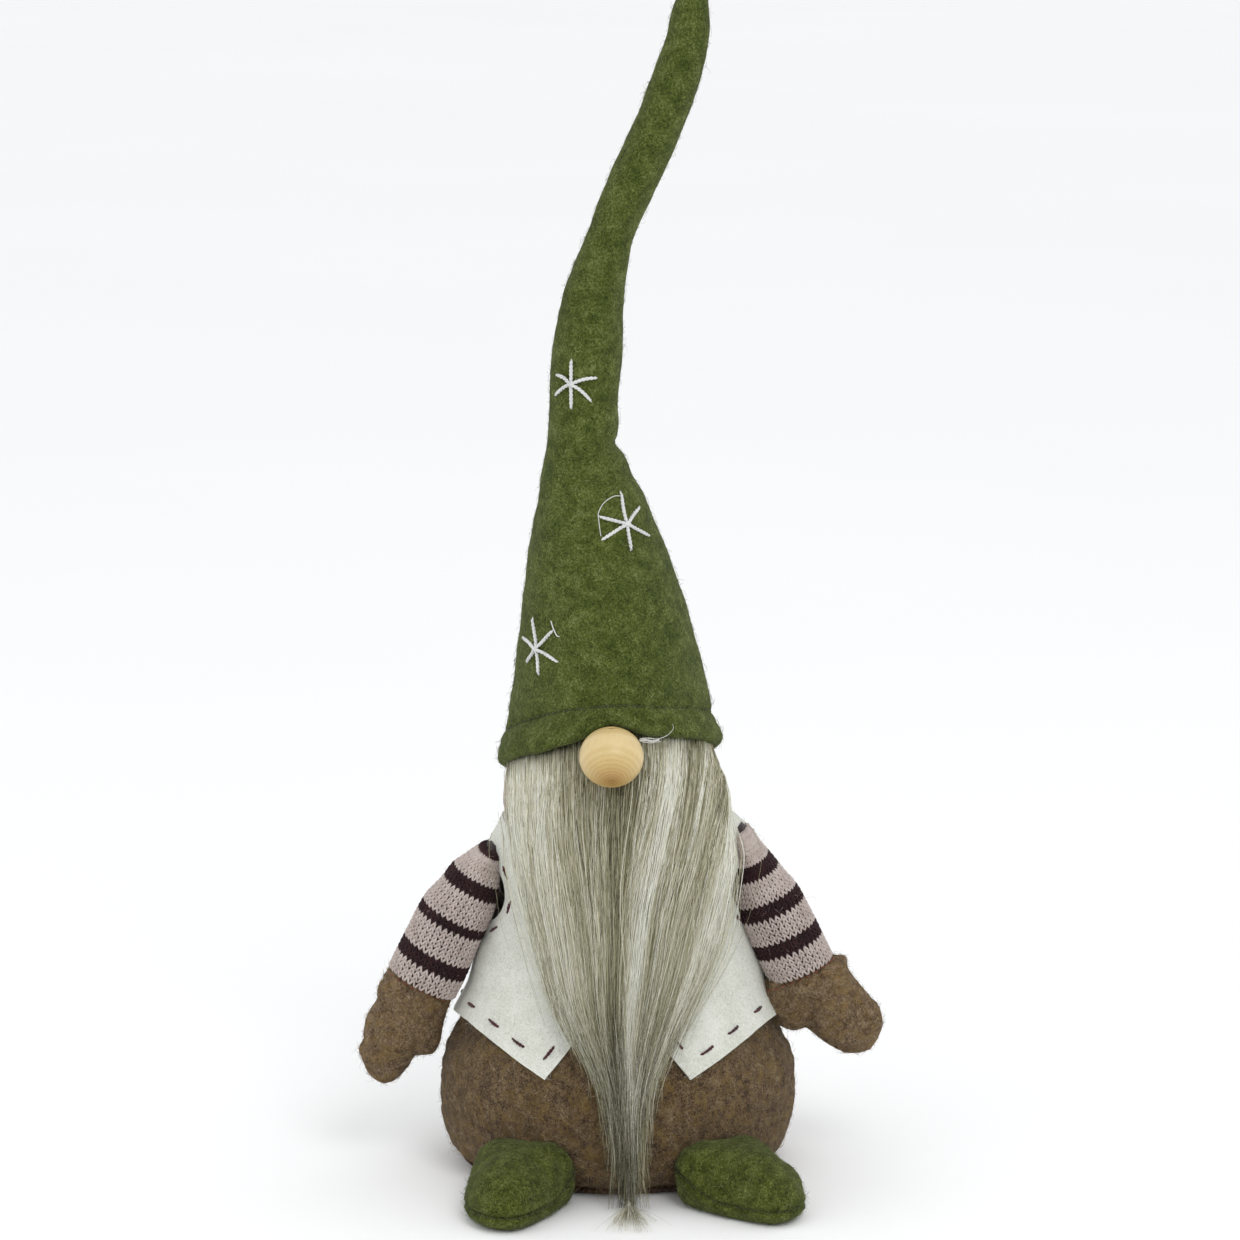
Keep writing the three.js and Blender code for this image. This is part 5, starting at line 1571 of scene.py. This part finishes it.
def build_foot(side, foot):
    direction = foot["turn"] * DEGREE + FRONT
    ahead = np.array([math.cos(direction), math.sin(direction), 0])
    aside = np.array([-ahead[1], ahead[0], 0])
    heel = np.array([*foot["heel"], 0.0])

    def foot_point(angle, fraction, z):
        """The ankle end is fuller than an oval, and its seam climbs towards the body."""
        half = FOOT_LENGTH / 2
        cosine, sine = np.cos(angle), np.sin(angle)
        fuller = np.where(cosine < 0, -np.abs(cosine) ** 0.62, cosine)
        long_way = half + fraction * half * fuller
        inner_side = np.clip(foot["inner"] * sine, 0, 1)
        wide_share = sine * np.where(cosine < 0, 1 + 0.16 * smoothstep(0, -0.8, cosine), 1)
        wide_share = wide_share * (1 - 0.52 * inner_side * np.clip((long_way - 16) / 40, 0, 1))
        wide = fraction * FOOT_WIDTH / 2 * wide_share
        spot = heel + long_way[..., None] * ahead + wide[..., None] * aside
        climb = FOOT_CLIMB * smoothstep(34, 6, long_way)
        low = np.clip(z / FOOT_SEAM, 0, 1)
        high = np.clip((z - FOOT_SEAM) / (FOOT_HEIGHT - FOOT_SEAM), 0, 1)
        spot[..., 2] = z + climb * np.where(z < FOOT_SEAM, low, 1 - 0.85 * high)
        return spot

    angles = full_turn(96)
    dome = np.sin(np.linspace(0, 1, 26) * math.pi / 2)[::-1][:, None]
    square = mix(2.35, 5.0, smoothstep(0.3, -0.7, np.cos(angles)))  # the ankle is squarer than the toe
    top = FOOT_SEAM + (FOOT_HEIGHT - FOOT_SEAM) * np.sqrt(np.clip(1 - dome**square, 0, 1))
    sole = np.array(FOOT_SOLE)
    fraction = np.concatenate([np.maximum(dome[::-1], 0.03), sole[:, :1]]) + 0 * angles
    z = np.concatenate([top[::-1], sole[:, 1:] + 0 * angles])
    rings = outside_body(foot_point(angles + 0 * z, fraction, z), 0.9)
    shape = closed_rings(f"foot_{side}_felt", rings, foot_felt)

    def seam_height(points):
        from_heel = (points - heel) @ ahead
        return FOOT_SEAM + FOOT_CLIMB * smoothstep(34, 6, from_heel)

    def held(points):
        seam = hump(points[:, 2] - seam_height(points), 1.6)
        low = smoothstep(3, 1, points[:, 2])
        x, y = points[:, 0], points[:, 1]
        width = body_width(points[:, 2]) + 3
        near_body = (x / width) ** 2 + (y / (width * BODY_DEPTH_RATIO)) ** 2 < 1.02
        return np.clip(np.max([seam, low, near_body], axis=0), 0, 1)

    inflated(shape, 2.2, 1.2, held, enlarge=3.0, levels=1)
    points, normals = read_points(shape)
    level = 1 - normals[:, 2] ** 2
    seam_z = seam_height(points) + 0.35 * noise(points, 14, 18)
    groove = hump(points[:, 2] - seam_z, 0.75) * level
    lips = hump(np.abs(points[:, 2] - seam_z) - 1.7, 0.9) * level
    rise = -1.5 * groove + 0.7 * lips
    above = smoothstep(2.5, 5, points[:, 2])
    rise += above * lumps(points, (0.7, 13, 19), (0.4, 5, 20), (0.16, 2.2, 21))
    moved = points + normals * rise[:, None]
    moved[:, 2] = np.maximum(moved[:, 2], 0.15)
    write_points(shape, outside_body(moved, 0.5))
    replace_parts(shape, f"foot_upper_{side}", f"foot_sole_{side}", f"foot_stuffing_{side}")
    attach(shape, f"foot_{side}")

    def free(at, out):
        from_heel = (at - heel) @ ahead
        return (from_heel > 16) & (at[:, 2] > 1.5)

    hair = fuzz(f"foot_{side}_fuzz", shape, 1700, 2.8, 0.1, 0.05, green_fibre, "foot_felt", 71, free, 0.5)
    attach(hair, f"foot_{side}")
    turn = np.linspace(-0.72 * math.pi, 0.72 * math.pi, 500)
    line = foot_point(turn, 1.0 + 0 * turn, FOOT_SEAM + 0 * turn)
    paths, radii = dashes(line, 0.0, 2.6, 0.9, 5, 0.3, 0.24, 0.62)
    thread = tubes(f"foot_{side}_seam_thread", paths, radii, hem_thread, 5)
    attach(thread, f"foot_{side}")


for side, foot in FEET.items():
    build_foot(side, foot)


# ---- Hidden parts that stay as CAD nodes ----


def inner_material(name, dark, mid, light, size, roughness, metallic=0.0):
    """A plain material for a part inside the figure: lumps that are long along Z, in colour and roughness."""
    material, tree, shader, at = start_material(name, Metallic=metallic)
    long_way = node(tree, "Mapping", {"Vector": at, "Scale": (1, 1, 0.2)}).outputs[0]
    clouds = cloudy(tree, long_way, size, 4.0, 0.65, 0.5)
    rough = node(tree, "MapRange", {0: clouds, 3: roughness - 0.1, 4: roughness + 0.1}).outputs[0]
    colour = ramp(tree, clouds, [(0.3, dark), (0.5, mid), (0.7, light)])
    set_surface(tree, shader, colour, clouds, 0.3, 0.6, rough)
    return material


steel = inner_material("hat_wire_steel", (110, 110, 112), (146, 146, 148), (176, 176, 178), 0.8, 0.38, 1.0)
card = inner_material("base_card_kraft", (140, 110, 76), (166, 136, 98), (184, 158, 120), 1.6, 0.85)
pellets = inner_material("pellet_bag_pale", (150, 146, 132), (186, 182, 168), (210, 206, 194), 2.6, 0.6)
HIDDEN = {"base_card": card, "pellet_bag": pellets}
HIDDEN |= {f"hat_wire_{length}": steel for length in ("lower", "middle", "upper")}
for name, material in HIDDEN.items():
    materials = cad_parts[name].data.materials
    materials.clear()
    materials.append(material)
